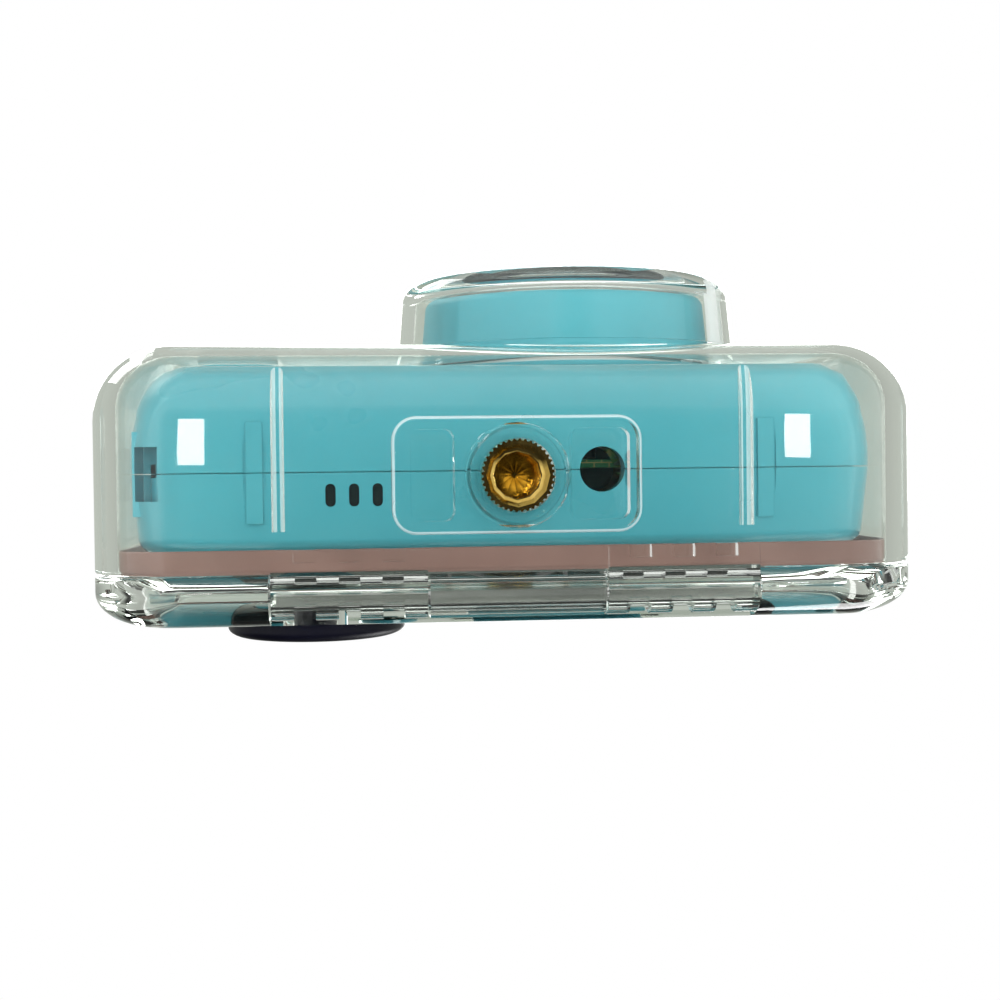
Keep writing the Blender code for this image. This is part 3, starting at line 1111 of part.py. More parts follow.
def build_arrow_key(name, middle, parent):
    """A quarter of the ring round the OK key, facing the direction at this angle in degrees."""
    span = 41.0
    centre = (PAD_X, PAD_Z)
    outline = arc(centre, KEY_RING_RADIUS, middle - span, middle + span, 8)
    outline += arc(centre, KEY_RING_INNER, middle + span - 3.0, middle - span + 3.0, 6)
    raised = KEY_FACE_Y - 0.3 * MM
    piece(name, extruded("Y", outline, key_floor_y(), raised), "cyan_plastic", (PAD_X, raised, PAD_Z), parent)


def build_top_button(name, x, radius, parent):
    centre = (x, CAMERA_SEAM_Y)
    under = flange_top(radius)
    top = CAMERA_TOP + BUTTON_PROUD
    flange = radius + FLANGE_WIDTH
    profile = [(flange, under - FLANGE_HEIGHT), (flange, under), (radius, under), (radius, top - 0.4 * MM),
               (radius - 0.4 * MM, top)]
    piece(f"{name}_button", turned("Z", centre, profile, 20), "cyan_plastic",
          (x, CAMERA_SEAM_Y, CAMERA_TOP), parent)


def build_camera(parent):
    build_front_cover(parent)
    build_rear_cover(parent)
    build_case_screws(parent)
    build_grip(parent)
    build_lens(parent)
    build_electronics(parent)
    build_small_inside(parent)
    build_rear_panel(parent)
    build_ok_key(parent)
    for name, angle in (("up", 90), ("left", 0), ("down", 270), ("right", 180)):
        build_arrow_key(f"key_{name}", angle, parent)
    for name, x, _, radius in plunger_sizes():
        build_top_button(name, x, radius, parent)


def build_housing(parent, door_parent, latch_parent):
    build_housing_front(parent)
    build_port_window(parent)
    build_tripod_insert(parent)
    build_hinge_pin(parent)
    build_latch_pin(parent)
    build_latch_clip(latch_parent)
    build_housing_door(door_parent)
    build_door_seal(door_parent)
    build_pad_cover(door_parent)
    for name, x, cap, _ in plunger_sizes():
        build_plunger(name, x, cap, parent, parent)


def main():
    clear_scene()
    base = pivot("base", (0.0, 0.0, 0.0))
    build_housing(base, pivot("door_axis", (0.0, HINGE_Y, HINGE_Z)),
                  pivot("latch_axis", (LATCH_X, LATCH_PIVOT_Y, LATCH_PIVOT_Z)))
    build_camera(base)


main()
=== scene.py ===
"""Looks for a compact camera in its clear, hinged waterproof housing."""

import math

import bmesh
import bpy
from mathutils import Matrix, Vector


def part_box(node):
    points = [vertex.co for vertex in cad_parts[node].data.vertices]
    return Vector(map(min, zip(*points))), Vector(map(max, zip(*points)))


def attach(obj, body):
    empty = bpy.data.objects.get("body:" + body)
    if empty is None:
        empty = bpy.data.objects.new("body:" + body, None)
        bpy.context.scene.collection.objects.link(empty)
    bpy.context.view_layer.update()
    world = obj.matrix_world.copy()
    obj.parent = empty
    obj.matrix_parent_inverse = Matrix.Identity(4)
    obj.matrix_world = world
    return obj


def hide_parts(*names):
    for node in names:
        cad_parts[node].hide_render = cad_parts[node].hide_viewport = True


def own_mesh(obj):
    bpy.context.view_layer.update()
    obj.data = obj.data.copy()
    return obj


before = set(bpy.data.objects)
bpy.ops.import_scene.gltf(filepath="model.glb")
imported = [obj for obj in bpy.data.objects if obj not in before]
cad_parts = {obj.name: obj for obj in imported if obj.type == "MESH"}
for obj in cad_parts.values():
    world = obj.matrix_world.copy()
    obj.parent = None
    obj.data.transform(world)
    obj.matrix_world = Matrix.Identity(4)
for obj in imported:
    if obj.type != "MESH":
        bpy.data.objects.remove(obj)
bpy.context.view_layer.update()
MM = 0.001

# ---------------------------------------------------------------- sizes, from the CAD nodes


def box_mm(node):
    low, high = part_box(node)
    return [c / MM for c in low], [c / MM for c in high]


FRONT_LOW, FRONT_HIGH = box_mm("camera_front_cover")
REAR_LOW, REAR_HIGH = box_mm("camera_rear_cover")
DOOR_HIGH = box_mm("housing_door")[1]
SHELL_LOW, SHELL_HIGH = box_mm("housing_front")
PORT_LOW, PORT_HIGH = box_mm("port_window")
BARREL_LOW, BARREL_HIGH = box_mm("lens_barrel")
PANEL_LOW, PANEL_HIGH = box_mm("rear_panel")
PIN_LOW, PIN_HIGH = box_mm("hinge_pin")
PAD_LOW, PAD_HIGH = box_mm("pad_cover")
INSERT_LOW, INSERT_HIGH = box_mm("tripod_insert")
CLIP_LOW, CLIP_HIGH = box_mm("latch_clip")
SEAL_LOW, SEAL_HIGH = box_mm("door_seal")

WALL = 2.6              # the case's wall
BOTTOM = 0.6            # the shell's underside, above the foot plate
HEAD_GAP = 3.9          # from the camera's top to the shell's ceiling
FACE_STEP = 2.5         # from the camera's face to the shell's front
SEAM_GAP = 2.2          # from the camera's back to the shell's rim
RIM_GAP = 0.3           # between the shell's rim and the door's
NOSE_GAP = 0.66         # from the camera's back to the door's nose
CASE_CORNER = 10.0
CASE_ROUND = 9.0
DOOR_ROUND = (7.5, 4.2)
KNUCKLE = 2.6
HINGE_BORE = 1.2
HINGE_SPAN = (10.5, 28.4)
PLATE = (0.0, 2.3)      # middle of the foot plate
PLATE_HALF = (14.5, 6.8)
RIB_X = 27.5
FOOT_X = 30.3
CAM_CORNER = 9.0
COVER = 1.8             # the camera's wall
SOCKET_X = 10.6
SOUND_X = -18.8
STRAP = (1.6, 4.7)      # the strap slot's ends, from the camera's side
STRAP_DEPTH = 13.0
STRAP_HALF = 3.2
KEYS_R = 8.3            # the hole round the keys
GLINT = (0.012, 0.0225)  # a distant softbox, in metres
GLINT_POWER = 0.020

HALF_W = SHELL_HIGH[0]
CAM_HALF = FRONT_HIGH[0]
CAM_SEAM = (FRONT_HIGH[1] + REAR_LOW[1]) / 2
CAM_FRONT = FRONT_LOW[1]
CAM_BACK = REAR_HIGH[1]
CAM_BOTTOM = FRONT_LOW[2] + 0.2
CAM_TOP = FRONT_HIGH[2]
CAM_MID = (CAM_BOTTOM + CAM_TOP) / 2
TOP = CAM_TOP + HEAD_GAP + WALL
MID_Z = (TOP + BOTTOM) / 2
HALF_H = (TOP - BOTTOM) / 2
SHELL_FRONT = CAM_FRONT - FACE_STEP
SEAM = CAM_BACK + SEAM_GAP
DOOR_FRONT = SEAM + RIM_GAP
DOOR_NOSE = CAM_BACK + NOSE_GAP
DOOR_BACK = DOOR_HIGH[1]
HINGE = ((PIN_LOW[1] + PIN_HIGH[1]) / 2, (PIN_LOW[2] + PIN_HIGH[2]) / 2)
LENS = ((BARREL_LOW[0] + BARREL_HIGH[0]) / 2, (BARREL_LOW[2] + BARREL_HIGH[2]) / 2)
BARREL_R = (BARREL_HIGH[0] - BARREL_LOW[0]) / 2
PORT_R = BARREL_R + 3.4
PORT_FRONT = SHELL_LOW[1]
GLASS_R = (PORT_HIGH[0] - PORT_LOW[0]) / 2
PAD = ((PAD_LOW[0] + PAD_HIGH[0]) / 2, (PAD_LOW[2] + PAD_HIGH[2]) / 2)
PAD_R = (PAD_HIGH[0] - PAD_LOW[0]) / 2
INSERT = (0.0, (INSERT_LOW[1] + INSERT_HIGH[1]) / 2)
LATCH_PIVOT = (3.5, TOP + 3.4)
PLUNGERS = {"shutter": (6.6, 5.2), "power": (4.6, 3.2)}    # radius of each cap and of the button under it
CORNER = 14             # steps in a corner, in a fillet and round a circle
FILLET = 12
ROUND = 96

# ---------------------------------------------------------------- mesh helpers, in millimetres


def along(axis, u, v, t):
    """The point (u, v) of a section, at t along the axis."""
    if axis == "X":
        return Vector((t, u, v))
    if axis == "Y":
        return Vector((u, t, v))
    return Vector((u, v, t))


def skin(rings, endless=False):
    """A closed mesh through rings of equal length, capped unless the last ring meets the first."""
    bm = bmesh.new()
    loops = [[bm.verts.new(p) for p in ring] for ring in rings]
    pairs = list(zip(loops, loops[1:])) + ([(loops[-1], loops[0])] if endless else [])
    for near, far in pairs:
        for i in range(len(near)):
            j = (i + 1) % len(near)
            bm.faces.new((near[i], near[j], far[j], far[i]))
    if not endless:
        bm.faces.new(loops[0])
        bm.faces.new(loops[-1])
    bmesh.ops.recalc_face_normals(bm, faces=bm.faces)
    return bm


def rounded(axis, centre, half_u, half_v, radius, t, steps=CORNER):
    """A ring in the shape of a rectangle with round corners."""
    ring = []
    for corner, (su, sv) in enumerate(((1, 1), (-1, 1), (-1, -1), (1, -1))):
        for step in range(steps + 1):
            a = (corner + step / steps) * math.pi / 2
            ring.append(along(axis, centre[0] + su * (half_u - radius) + radius * math.cos(a),
                              centre[1] + sv * (half_v - radius) + radius * math.sin(a), t))
    return ring


def circle(axis, centre, radius, t, steps):
    return [along(axis, centre[0] + radius * math.cos(2 * math.pi * k / steps),
                  centre[1] + radius * math.sin(2 * math.pi * k / steps), t) for k in range(steps)]


def turned(axis, centre, profile, steps=ROUND, endless=False):
    return skin([circle(axis, centre, r, t, steps) for r, t in profile], endless)


def disc(axis, centre, radius, start, end, steps=48):
    return turned(axis, centre, [(radius, start), (radius, end)], steps)


def slab(axis, centre, half_u, half_v, radius, start, end, edge=0.0, steps=8, both=True):
    """A plate with round corners, and with rounded edges on one side or both."""
    rims = [(start, 0.0), (end, 0.0)]
    if edge:
        front = [(start + edge * d, edge * i) for i, d in quarter(4)]
        back = [(end - edge * d, edge * i) for i, d in reversed(quarter(4))] if both else [(end, 0.0)]
        rims = front + back
    return skin([rounded(axis, centre, half_u - inset, half_v - inset, max(radius - inset, 0.3 * radius), t,
                         steps) for t, inset in rims])


def block(x, y, z):
    corners = ((x[0], y[0]), (x[1], y[0]), (x[1], y[1]), (x[0], y[1]))
    return skin([[Vector((a, b, t)) for a, b in corners] for t in z])


def extruded(axis, outline, start, end):
    return skin([[along(axis, u, v, t) for u, v in outline] for t in (start, end)])


def arc(centre, radius, first, last, steps):
    angles = [math.radians(first + (last - first) * k / steps) for k in range(steps + 1)]
    return [(centre[0] + radius * math.cos(a), centre[1] + radius * math.sin(a)) for a in angles]


def fluted(centre, radius, first, last, steps):
    """An arc whose every other point is cut in a little, for a finely ribbed barrel."""
    points = []
    for k, (u, v) in enumerate(arc(centre, radius, first, last, steps)):
        share = 1 if k % 2 == 0 else 0.955
        points.append((centre[0] + (u - centre[0]) * share, centre[1] + (v - centre[1]) * share))
    return points


def quarter(steps=FILLET):
    """A quarter circle's points, as shares of the radius inwards and along."""
    angles = [k * math.pi / 2 / steps for k in range(steps + 1)]
    return [(1 - math.sin(a), 1 - math.cos(a)) for a in angles]


def scratch(bm):
    """A throwaway object for a Boolean."""
    mesh = bpy.data.meshes.new("scratch")
    bm.to_mesh(mesh)
    bm.free()
    made = bpy.data.objects.new("scratch", mesh)
    bpy.context.scene.collection.objects.link(made)
    return made


def carved(base, steps):
    """Booleans in order: "+" adds, "-" cuts and "*" keeps what is inside. The result is a plain mesh."""
    target = scratch(base)
    tools = []
    for sign, bm in steps:
        tool = scratch(bm)
        tools.append(tool)
        modifier = target.modifiers.new("cut", "BOOLEAN")
        modifier.operation = {"+": "UNION", "-": "DIFFERENCE", "*": "INTERSECT"}[sign]
        modifier.solver = "EXACT"
        modifier.object = tool
    bpy.context.view_layer.update()
    done = target.evaluated_get(bpy.context.evaluated_depsgraph_get())
    bm = bmesh.new()
    bm.from_mesh(done.to_mesh())
    done.to_mesh_clear()
    for item in [target] + tools:
        data = item.data
        bpy.data.objects.remove(item)
        bpy.data.meshes.remove(data)
    return bm


def piece(name, bm, material, body, replaced=None, sharp=32, bevel=0.0):
    """A finished mesh in metres that rides on a CAD body."""
    bmesh.ops.remove_doubles(bm, verts=bm.verts, dist=0.0004)
    bmesh.ops.dissolve_degenerate(bm, edges=bm.edges, dist=0.0002)
    bmesh.ops.recalc_face_normals(bm, faces=bm.faces)
    bm.transform(Matrix.Scale(MM, 4))
    mesh = bpy.data.meshes.new(name)
    bm.to_mesh(mesh)
    bm.free()
    mesh.materials.append(MATERIALS[material])
    mesh.shade_smooth()
    mesh.set_sharp_from_angle(angle=math.radians(sharp))
    made = bpy.data.objects.new(name, mesh)
    bpy.context.scene.collection.objects.link(made)
    if bevel:
        edge = made.modifiers.new("edge", "BEVEL")
        edge.width = bevel * MM
        edge.segments = 2
        edge.limit_method = "ANGLE"
        edge.angle_limit = math.radians(45)
        edge.harden_normals = False
    normals = made.modifiers.new("normals", "WEIGHTED_NORMAL")
    normals.keep_sharp = True
    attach(made, body)
    if replaced:
        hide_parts(replaced)
    return made


# ---------------------------------------------------------------- materials


def new_material(name):
    made = bpy.data.materials.new(name)
    made.use_nodes = True
    tree = made.node_tree
    tree.nodes.clear()
    out = tree.nodes.new("ShaderNodeOutputMaterial")
    shader = tree.nodes.new("ShaderNodeBsdfPrincipled")
    tree.links.new(shader.outputs[0], out.inputs[0])
    return made, tree, shader, out


def noise(tree, scale, detail=3.0, stretch=(1, 1, 1)):
    coords = tree.nodes.new("ShaderNodeTexCoord")
    mapping = tree.nodes.new("ShaderNodeMapping")
    mapping.inputs["Scale"].default_value = stretch
    tree.links.new(coords.outputs["Object"], mapping.inputs["Vector"])
    texture = tree.nodes.new("ShaderNodeTexNoise")
    texture.inputs["Scale"].default_value = scale
    texture.inputs["Detail"].default_value = detail
    tree.links.new(mapping.outputs[0], texture.inputs["Vector"])
    return texture.outputs["Fac"]


def ramp(tree, source, stops):
    node = tree.nodes.new("ShaderNodeValToRGB")
    node.color_ramp.elements[0].position = stops[0][0]
    node.color_ramp.elements[0].color = (*stops[0][1], 1)
    node.color_ramp.elements[1].position = stops[-1][0]
    node.color_ramp.elements[1].color = (*stops[-1][1], 1)
    for place, colour in stops[1:-1]:
        node.color_ramp.elements.new(place).color = (*colour, 1)
    tree.links.new(source, node.inputs[0])
    return node.outputs[0]


def spread(tree, source, low, high):
    node = tree.nodes.new("ShaderNodeMapRange")
    node.inputs["From Min"].default_value = 0.3
    node.inputs["From Max"].default_value = 0.7
    node.inputs["To Min"].default_value = low
    node.inputs["To Max"].default_value = high
    tree.links.new(source, node.inputs["Value"])
    return node.outputs[0]


def bump(tree, shader, source, strength, distance=0.0001):
    node = tree.nodes.new("ShaderNodeBump")
    node.inputs["Strength"].default_value = strength
    node.inputs["Distance"].default_value = distance
    tree.links.new(source, node.inputs["Height"])
    tree.links.new(node.outputs[0], shader.inputs["Normal"])


def surface(name, dark, light, rough, scale, metallic=0.0, grain=0.1, grain_scale=1500.0, coat=0.0,
            stretch=(1, 1, 1), specular=0.5):
    """A solid finish: a mottled colour and gloss, and a fine grain."""
    made, tree, shader, _ = new_material(name)
    shader.inputs["Metallic"].default_value = metallic
    shader.inputs["Coat Weight"].default_value = coat
    shader.inputs["Coat Roughness"].default_value = 0.06
    shader.inputs["Specular IOR Level"].default_value = specular
    cloud = noise(tree, scale, stretch=stretch)
    tree.links.new(ramp(tree, cloud, ((0.3, dark), (0.7, light))), shader.inputs["Base Color"])
    tree.links.new(spread(tree, cloud, rough[0], rough[1]), shader.inputs["Roughness"])
    bump(tree, shader, noise(tree, grain_scale, stretch=stretch), grain)
    return made


def clear(name, tint, shade, ior, rough, through=1.0):
    """See-through plastic. It lets the lamps' light through, and the light that it would otherwise trap."""
    made, tree, shader, out = new_material(name)
    shader.inputs["Base Color"].default_value = (*tint, 1)
    shader.inputs["Transmission Weight"].default_value = through
    shader.inputs["IOR"].default_value = ior
    ripple = noise(tree, 60.0, 2.0)
    tree.links.new(spread(tree, ripple, 0.0, rough), shader.inputs["Roughness"])
    bump(tree, shader, ripple, 0.06, 0.0002)
    lit = tree.nodes.new("ShaderNodeBsdfTransparent")
    lit.inputs[0].default_value = (*shade, 1)
    path = tree.nodes.new("ShaderNodeLightPath")
    trapped = tree.nodes.new("ShaderNodeMath")
    trapped.operation = "GREATER_THAN"
    trapped.inputs[1].default_value = 2.5
    tree.links.new(path.outputs["Glossy Depth"], trapped.inputs[0])
    either = tree.nodes.new("ShaderNodeMath")
    either.operation = "MAXIMUM"
    tree.links.new(path.outputs["Is Shadow Ray"], either.inputs[0])
    tree.links.new(trapped.outputs[0], either.inputs[1])
    mix = tree.nodes.new("ShaderNodeMixShader")
    tree.links.new(either.outputs[0], mix.inputs[0])
    tree.links.new(shader.outputs[0], mix.inputs[1])
    tree.links.new(lit.outputs[0], mix.inputs[2])
    tree.links.new(mix.outputs[0], out.inputs[0])
    return made


def board_material():
    made, tree, shader, _ = new_material("board")
    coords = tree.nodes.new("ShaderNodeTexCoord")
    bricks = tree.nodes.new("ShaderNodeTexBrick")
    bricks.inputs["Scale"].default_value = 260.0
    bricks.inputs["Color1"].default_value = (0.02, 0.16, 0.07, 1)
    bricks.inputs["Color2"].default_value = (0.03, 0.22, 0.10, 1)
    bricks.inputs["Mortar"].default_value = (0.45, 0.38, 0.16, 1)
    tree.links.new(coords.outputs["Object"], bricks.inputs["Vector"])
    tree.links.new(bricks.outputs[0], shader.inputs["Base Color"])
    tree.links.new(spread(tree, noise(tree, 400.0), 0.35, 0.55), shader.inputs["Roughness"])
    return made


CYAN = ((0.064, 0.345, 0.430), (0.084, 0.392, 0.478))
CLEAR_SHADE = (0.93, 0.95, 0.93)
MATERIALS = {
    "clear": clear("clear_case", (0.90, 0.93, 0.90), CLEAR_SHADE, 1.46, 0.02),
    # The edge entry is frosted, part-white plastic: a painted highlight for the lines of light along the ribs and
    # the foot plate.
    "edge": clear("clear_painted_highlight_edge", (0.95, 0.98, 0.97), CLEAR_SHADE, 1.46, 0.30, 0.62),
    "glass": clear("lens_glass", (0.95, 0.97, 0.98), (0.95, 0.96, 0.97), 1.5, 0.01),
    "cyan": surface("cyan_case", *CYAN, (0.26, 0.34), 35.0, grain=0.05, coat=1.0),
    "satin": surface("cyan_satin", *CYAN, (0.48, 0.58), 35.0, grain=0.08, specular=0.4),
    "black": surface("black_case", (0.008, 0.009, 0.012), (0.016, 0.017, 0.021), (0.25, 0.40), 90.0, grain=0.1),
    "gloss": surface("gloss_panel", (0.004, 0.005, 0.007), (0.008, 0.009, 0.012), (0.04, 0.10), 40.0,
                     grain=0.02, coat=0.5),
    "screen": surface("screen", (0.010, 0.014, 0.020), (0.018, 0.024, 0.032), (0.05, 0.09), 25.0, grain=0.02),
    "rubber": surface("black_rubber_soft", (0.002, 0.002, 0.006), (0.004, 0.004, 0.011), (0.36, 0.50), 160.0,
                      grain=0.25, grain_scale=2600.0, specular=0.22),
    "seal": surface("silicone", (0.23, 0.130, 0.115), (0.30, 0.175, 0.155), (0.35, 0.50), 120.0, grain=0.1),
    "steel": surface("bright_steel", (0.42, 0.42, 0.41), (0.66, 0.66, 0.64), (0.16, 0.30), 500.0, 1.0, 0.15,
                     stretch=(0.1, 1, 1)),
    "brass": surface("turned_brass", (0.55, 0.35, 0.07), (0.90, 0.66, 0.20), (0.07, 0.16), 420.0, 1.0, 0.12),
    "white": surface("white_part", (0.74, 0.75, 0.75), (0.84, 0.85, 0.84), (0.30, 0.42), 80.0, grain=0.06),
    "wrap": surface("battery_sleeve", (0.16, 0.17, 0.19), (0.23, 0.24, 0.27), (0.3, 0.45), 150.0, grain=0.1),
    "board": board_material(),
}

# ---------------------------------------------------------------- housing


def case_ring(inset, y):
    return rounded("Y", (0.0, MID_Z), HALF_W - inset, HALF_H - inset, max(CASE_CORNER - inset, 1.0), y)


def shell_body():
    """A deep tray, open at the back."""
    round_in, floor = 6.4, SHELL_FRONT + 1.6
    outer = [case_ring(CASE_ROUND * i, SHELL_FRONT + CASE_ROUND * d) for i, d in quarter()]
    inner = [case_ring(WALL + round_in * i, floor + round_in * d) for i, d in reversed(quarter())]
    rim = [case_ring(0.0, SEAM - 0.35), case_ring(0.1, SEAM - 0.1), case_ring(0.35, SEAM),
           case_ring(WALL, SEAM)]
    return skin(outer + rim + inner)


def port_steps():
    """The lens port: a drum with a collar at its foot, hollow, with a seat for its window."""
    base = SHELL_FRONT + 0.8
    tip = PORT_R - 0.7
    rim = [(tip - 3.0 * i, PORT_FRONT + 3.0 * d) for i, d in quarter()]
    collar = [(PORT_R + 0.8, SHELL_FRONT - 0.9), (PORT_R + 1.05, SHELL_FRONT - 0.8),
              (PORT_R + 1.2, SHELL_FRONT - 0.5), (PORT_R + 1.2, base)]
    seat = PORT_FRONT + 1.65
    bore = tip - 2.2
    inside = [(bore - 1.2 * i, seat + 0.6 + 1.2 * d) for i, d in quarter(6)]
    window = [(GLASS_R + 0.3, PORT_FRONT - 1), (GLASS_R + 0.3, seat), (GLASS_R - 1.2, seat),
              (GLASS_R - 1.2, seat + 1.6)]
    return [("+", turned("Y", LENS, rim + [(PORT_R, base)], 160)), ("+", turned("Y", LENS, collar, 160)),
            ("-", turned("Y", LENS, inside + [(bore + 0.7, SHELL_FRONT + 2.6)], 160)),
            ("-", turned("Y", LENS, window, 160))]


def boss_steps():
    """The foot plate, with a pocket on each side of the tripod insert."""
    steps = [("+", slab("Z", PLATE, *PLATE_HALF, 2.8, 0.0, 4.9, edge=0.55))]
    for low, high in ((-12.3, -7.3), (6.2, 13.0)):
        pocket = slab("Z", ((low + high) / 2, PLATE[1]), (high - low) / 2, 5.3, 1.2, -1.0, 3.5)
        steps.append(("-", pocket))
    groove = [(5.5, -1.0), (6.1, -1.0), (6.1, 1.5), (5.8, 1.8), (5.5, 1.5)]
    steps.append(("-", turned("Z", INSERT, groove, 96, endless=True)))
    steps.append(("-", disc("Z", INSERT, 4.35, -1.0, 4.4, 64)))
    return steps


def knuckle_steps():
    """The shell's two hinge barrels, with slots moulded along them."""
    floor = BOTTOM + WALL - 0.2
    back = HINGE[0] + KNUCKLE
    near, far = HINGE_SPAN
    steps = []
    for start, end in ((-far, -near), (near, far)):
        outline = [(SEAM - WALL, 0.4)] + fluted(HINGE, KNUCKLE, -90, 180, 20) + [(SEAM - WALL, floor)]
        steps.append(("+", extruded("X", outline, start, end)))
        pitch = (end - start) / 3.5
        for slot in range(3):
            low = start + pitch * (slot + 0.5)
            steps.append(("-", block((low, low + 2.5), (back - 1.3, back + 1), (-1.0, 7.0))))
            steps.append(("-", block((low, low + 2.5), (SEAM - 2.8, SEAM - 1.3), (-1.0, 1.7))))
    steps.append(("-", disc("X", HINGE, HINGE_BORE, -30.0, 30.0, 32)))
    return steps


def rib_steps():
    """The two floor ribs that the camera stands on, curved up at the front with the shell."""
    top = CAM_BOTTOM - 0.5
    radius = CASE_ROUND - WALL / 2
    centre = (SHELL_FRONT + CASE_ROUND, BOTTOM + CASE_ROUND)
    rise = math.degrees(math.acos((centre[1] - top) / radius))
    outline = [(CAM_BACK - 2.6, top), (CAM_BACK - 2.6, centre[1] - radius)]
    outline += arc(centre, radius, 270, 270 - rise, 12)
    steps = []
    for x in (-RIB_X, RIB_X):
        half = [(0.85, 1.2), (0.68, top - 0.35), (0.45, top - 0.08), (0.2, top)]
        section = [(x - 0.85, 1.2)] + [(x + u, z) for u, z in half] + [(x - u, z) for u, z in half[:0:-1]]
        bar = extruded("Y", section, SHELL_FRONT, CAM_BACK)
        steps.append(("+", carved(bar, [("*", extruded("X", outline, x - 2.0, x + 2.0))])))
    return steps


def lug_steps():
    """The two lugs that carry the latch's pin."""
    outline = [(-1.5, TOP - 1.3), (8.5, TOP - 1.3)] + arc(LATCH_PIVOT, 2.6, 0, 180, 24)
    steps = [("+", extruded("X", outline, a, b)) for a, b in ((-4.3, -1.3), (25.3, 28.3))]
    return steps + [("-", disc("X", LATCH_PIVOT, 1.0, -6.0, 30.0, 32))]


def plunger_centre(name):
    low, high = box_mm(f"{name}_plunger")
    return (low[0] + high[0]) / 2, (low[1] + high[1]) / 2


def well_steps():
    """A raised well round each plunger, and the bores that its shaft and seal sit in."""
    steps = []
    for name, (cap, _) in PLUNGERS.items():
        centre = plunger_centre(name)
        well = cap + 0.6
        rim = [(well + 1.8, TOP - 1.3), (well + 1.8, TOP + 1.9), (well + 1.65, TOP + 2.25), (well + 1.3, TOP + 2.4)]
        steps += [("+", turned("Z", centre, rim, 96)), ("-", disc("Z", centre, well, TOP, TOP + 3.5, 96)),
                  ("-", disc("Z", centre, 1.6, TOP - WALL - 1, TOP + 0.5, 32)),
                  ("-", disc("Z", centre, 2.75, TOP - WALL - 1, TOP - WALL + 1.4, 48))]
    return steps


def door_body():
    """The door's outside, with a tongue that enters the shell and a groove for the seal."""
    tongue, groove = WALL + 0.5, WALL + 1.3
    front = DOOR_NOSE
    rings = [case_ring(tongue, front), case_ring(tongue, front + 0.25), case_ring(groove, front + 0.25),
             case_ring(groove, DOOR_FRONT - 0.25), case_ring(tongue, DOOR_FRONT - 0.25),
             case_ring(tongue, DOOR_FRONT), case_ring(0.35, DOOR_FRONT), case_ring(0.1, DOOR_FRONT + 0.1),
             case_ring(0.0, DOOR_FRONT + 0.35)]
    inwards, deep = DOOR_ROUND
    rings += [case_ring(inwards * i, DOOR_BACK - deep * d) for i, d in reversed(quarter())]
    return skin(rings)


def door_steps():
    """The door's cavity, hinge side, latch keeper and the hole for the pad cover."""
    inner = DOOR_BACK - WALL
    side = HALF_W - WALL - 2.7
    high = TOP - WALL - 2.7
    front = DOOR_NOSE
    cavity = []
    for y, inset in [(front - 1, 0.0)] + [(inner - 2.5 * d, 2.5 * i) for i, d in reversed(quarter(8))]:
        low = BOTTOM + 7.9 + 3.5 * (inner - y) / (inner - front)
        cavity.append(rounded("Y", (0.0, (low + high) / 2), side - inset, (high - low) / 2 - inset, 5.0 - inset, y))
    relief = [(SEAM - 1, -1.0), (HINGE[0], -1.0)] + arc(HINGE, KNUCKLE, 270, 180, 24)
    relief.append((SEAM - 1, HINGE[1]))
    recess_top = HINGE[1] + KNUCKLE + 0.6
    reach = HINGE_SPAN[1] + 0.3
    web = fluted(HINGE, KNUCKLE, 160, 380, 16)
    web += [(HINGE[0] + 2.4, recess_top + 1.2), (HINGE[0] - 2.4, recess_top + 1.2)]
    keeper = [(DOOR_FRONT + 0.2, TOP - 1.3), (DOOR_FRONT + 2.6, TOP - 1.3), (DOOR_FRONT + 2.6, TOP + 1.7),
              (DOOR_FRONT + 2.45, TOP + 2.05), (DOOR_FRONT + 2.1, TOP + 2.2), (DOOR_FRONT + 0.8, TOP + 2.2)]
    return [("-", skin(cavity)), ("-", extruded("X", relief, -HALF_W - 1, HALF_W + 1)),
            ("-", block((-reach, reach), (SEAM, DOOR_BACK + 1), (-1.0, recess_top))),
            ("+", extruded("X", web, -10.2, 10.2)), ("-", disc("X", HINGE, HINGE_BORE, -reach, reach, 32)),
            ("+", extruded("X", keeper, 3.0, 21.0)),
            ("+", disc("Y", PAD, 6.2, inner - 1.0, inner + 0.5, 64)),
            ("-", disc("Y", PAD, 4.1, inner - 2.0, DOOR_BACK + 1, 64))]


def painted_highlight_edges(shell):
    """The ribs' shoulders and the foot plate's edges get a milky, frosted plastic: a painted highlight that stands
    in for the white lines of light along them.
    """
    shell.data.materials.append(MATERIALS["edge"])
    for face in shell.data.polygons:
        x, y, z = (c / MM for c in face.center)
        tilt = abs(face.normal.z)
        rib = z > 3.2 and abs(abs(x) - RIB_X) < 1.0 and 0.2 < tilt < 0.97 and y < CAM_BACK
        plate = z < 0.55 and abs(x) < 15 and abs(y - PLATE[1]) < 7 and 0.05 < tilt < 0.97
        # Faces picked here take the painted highlight material.
        if rib or plate:
            face.material_index = 1


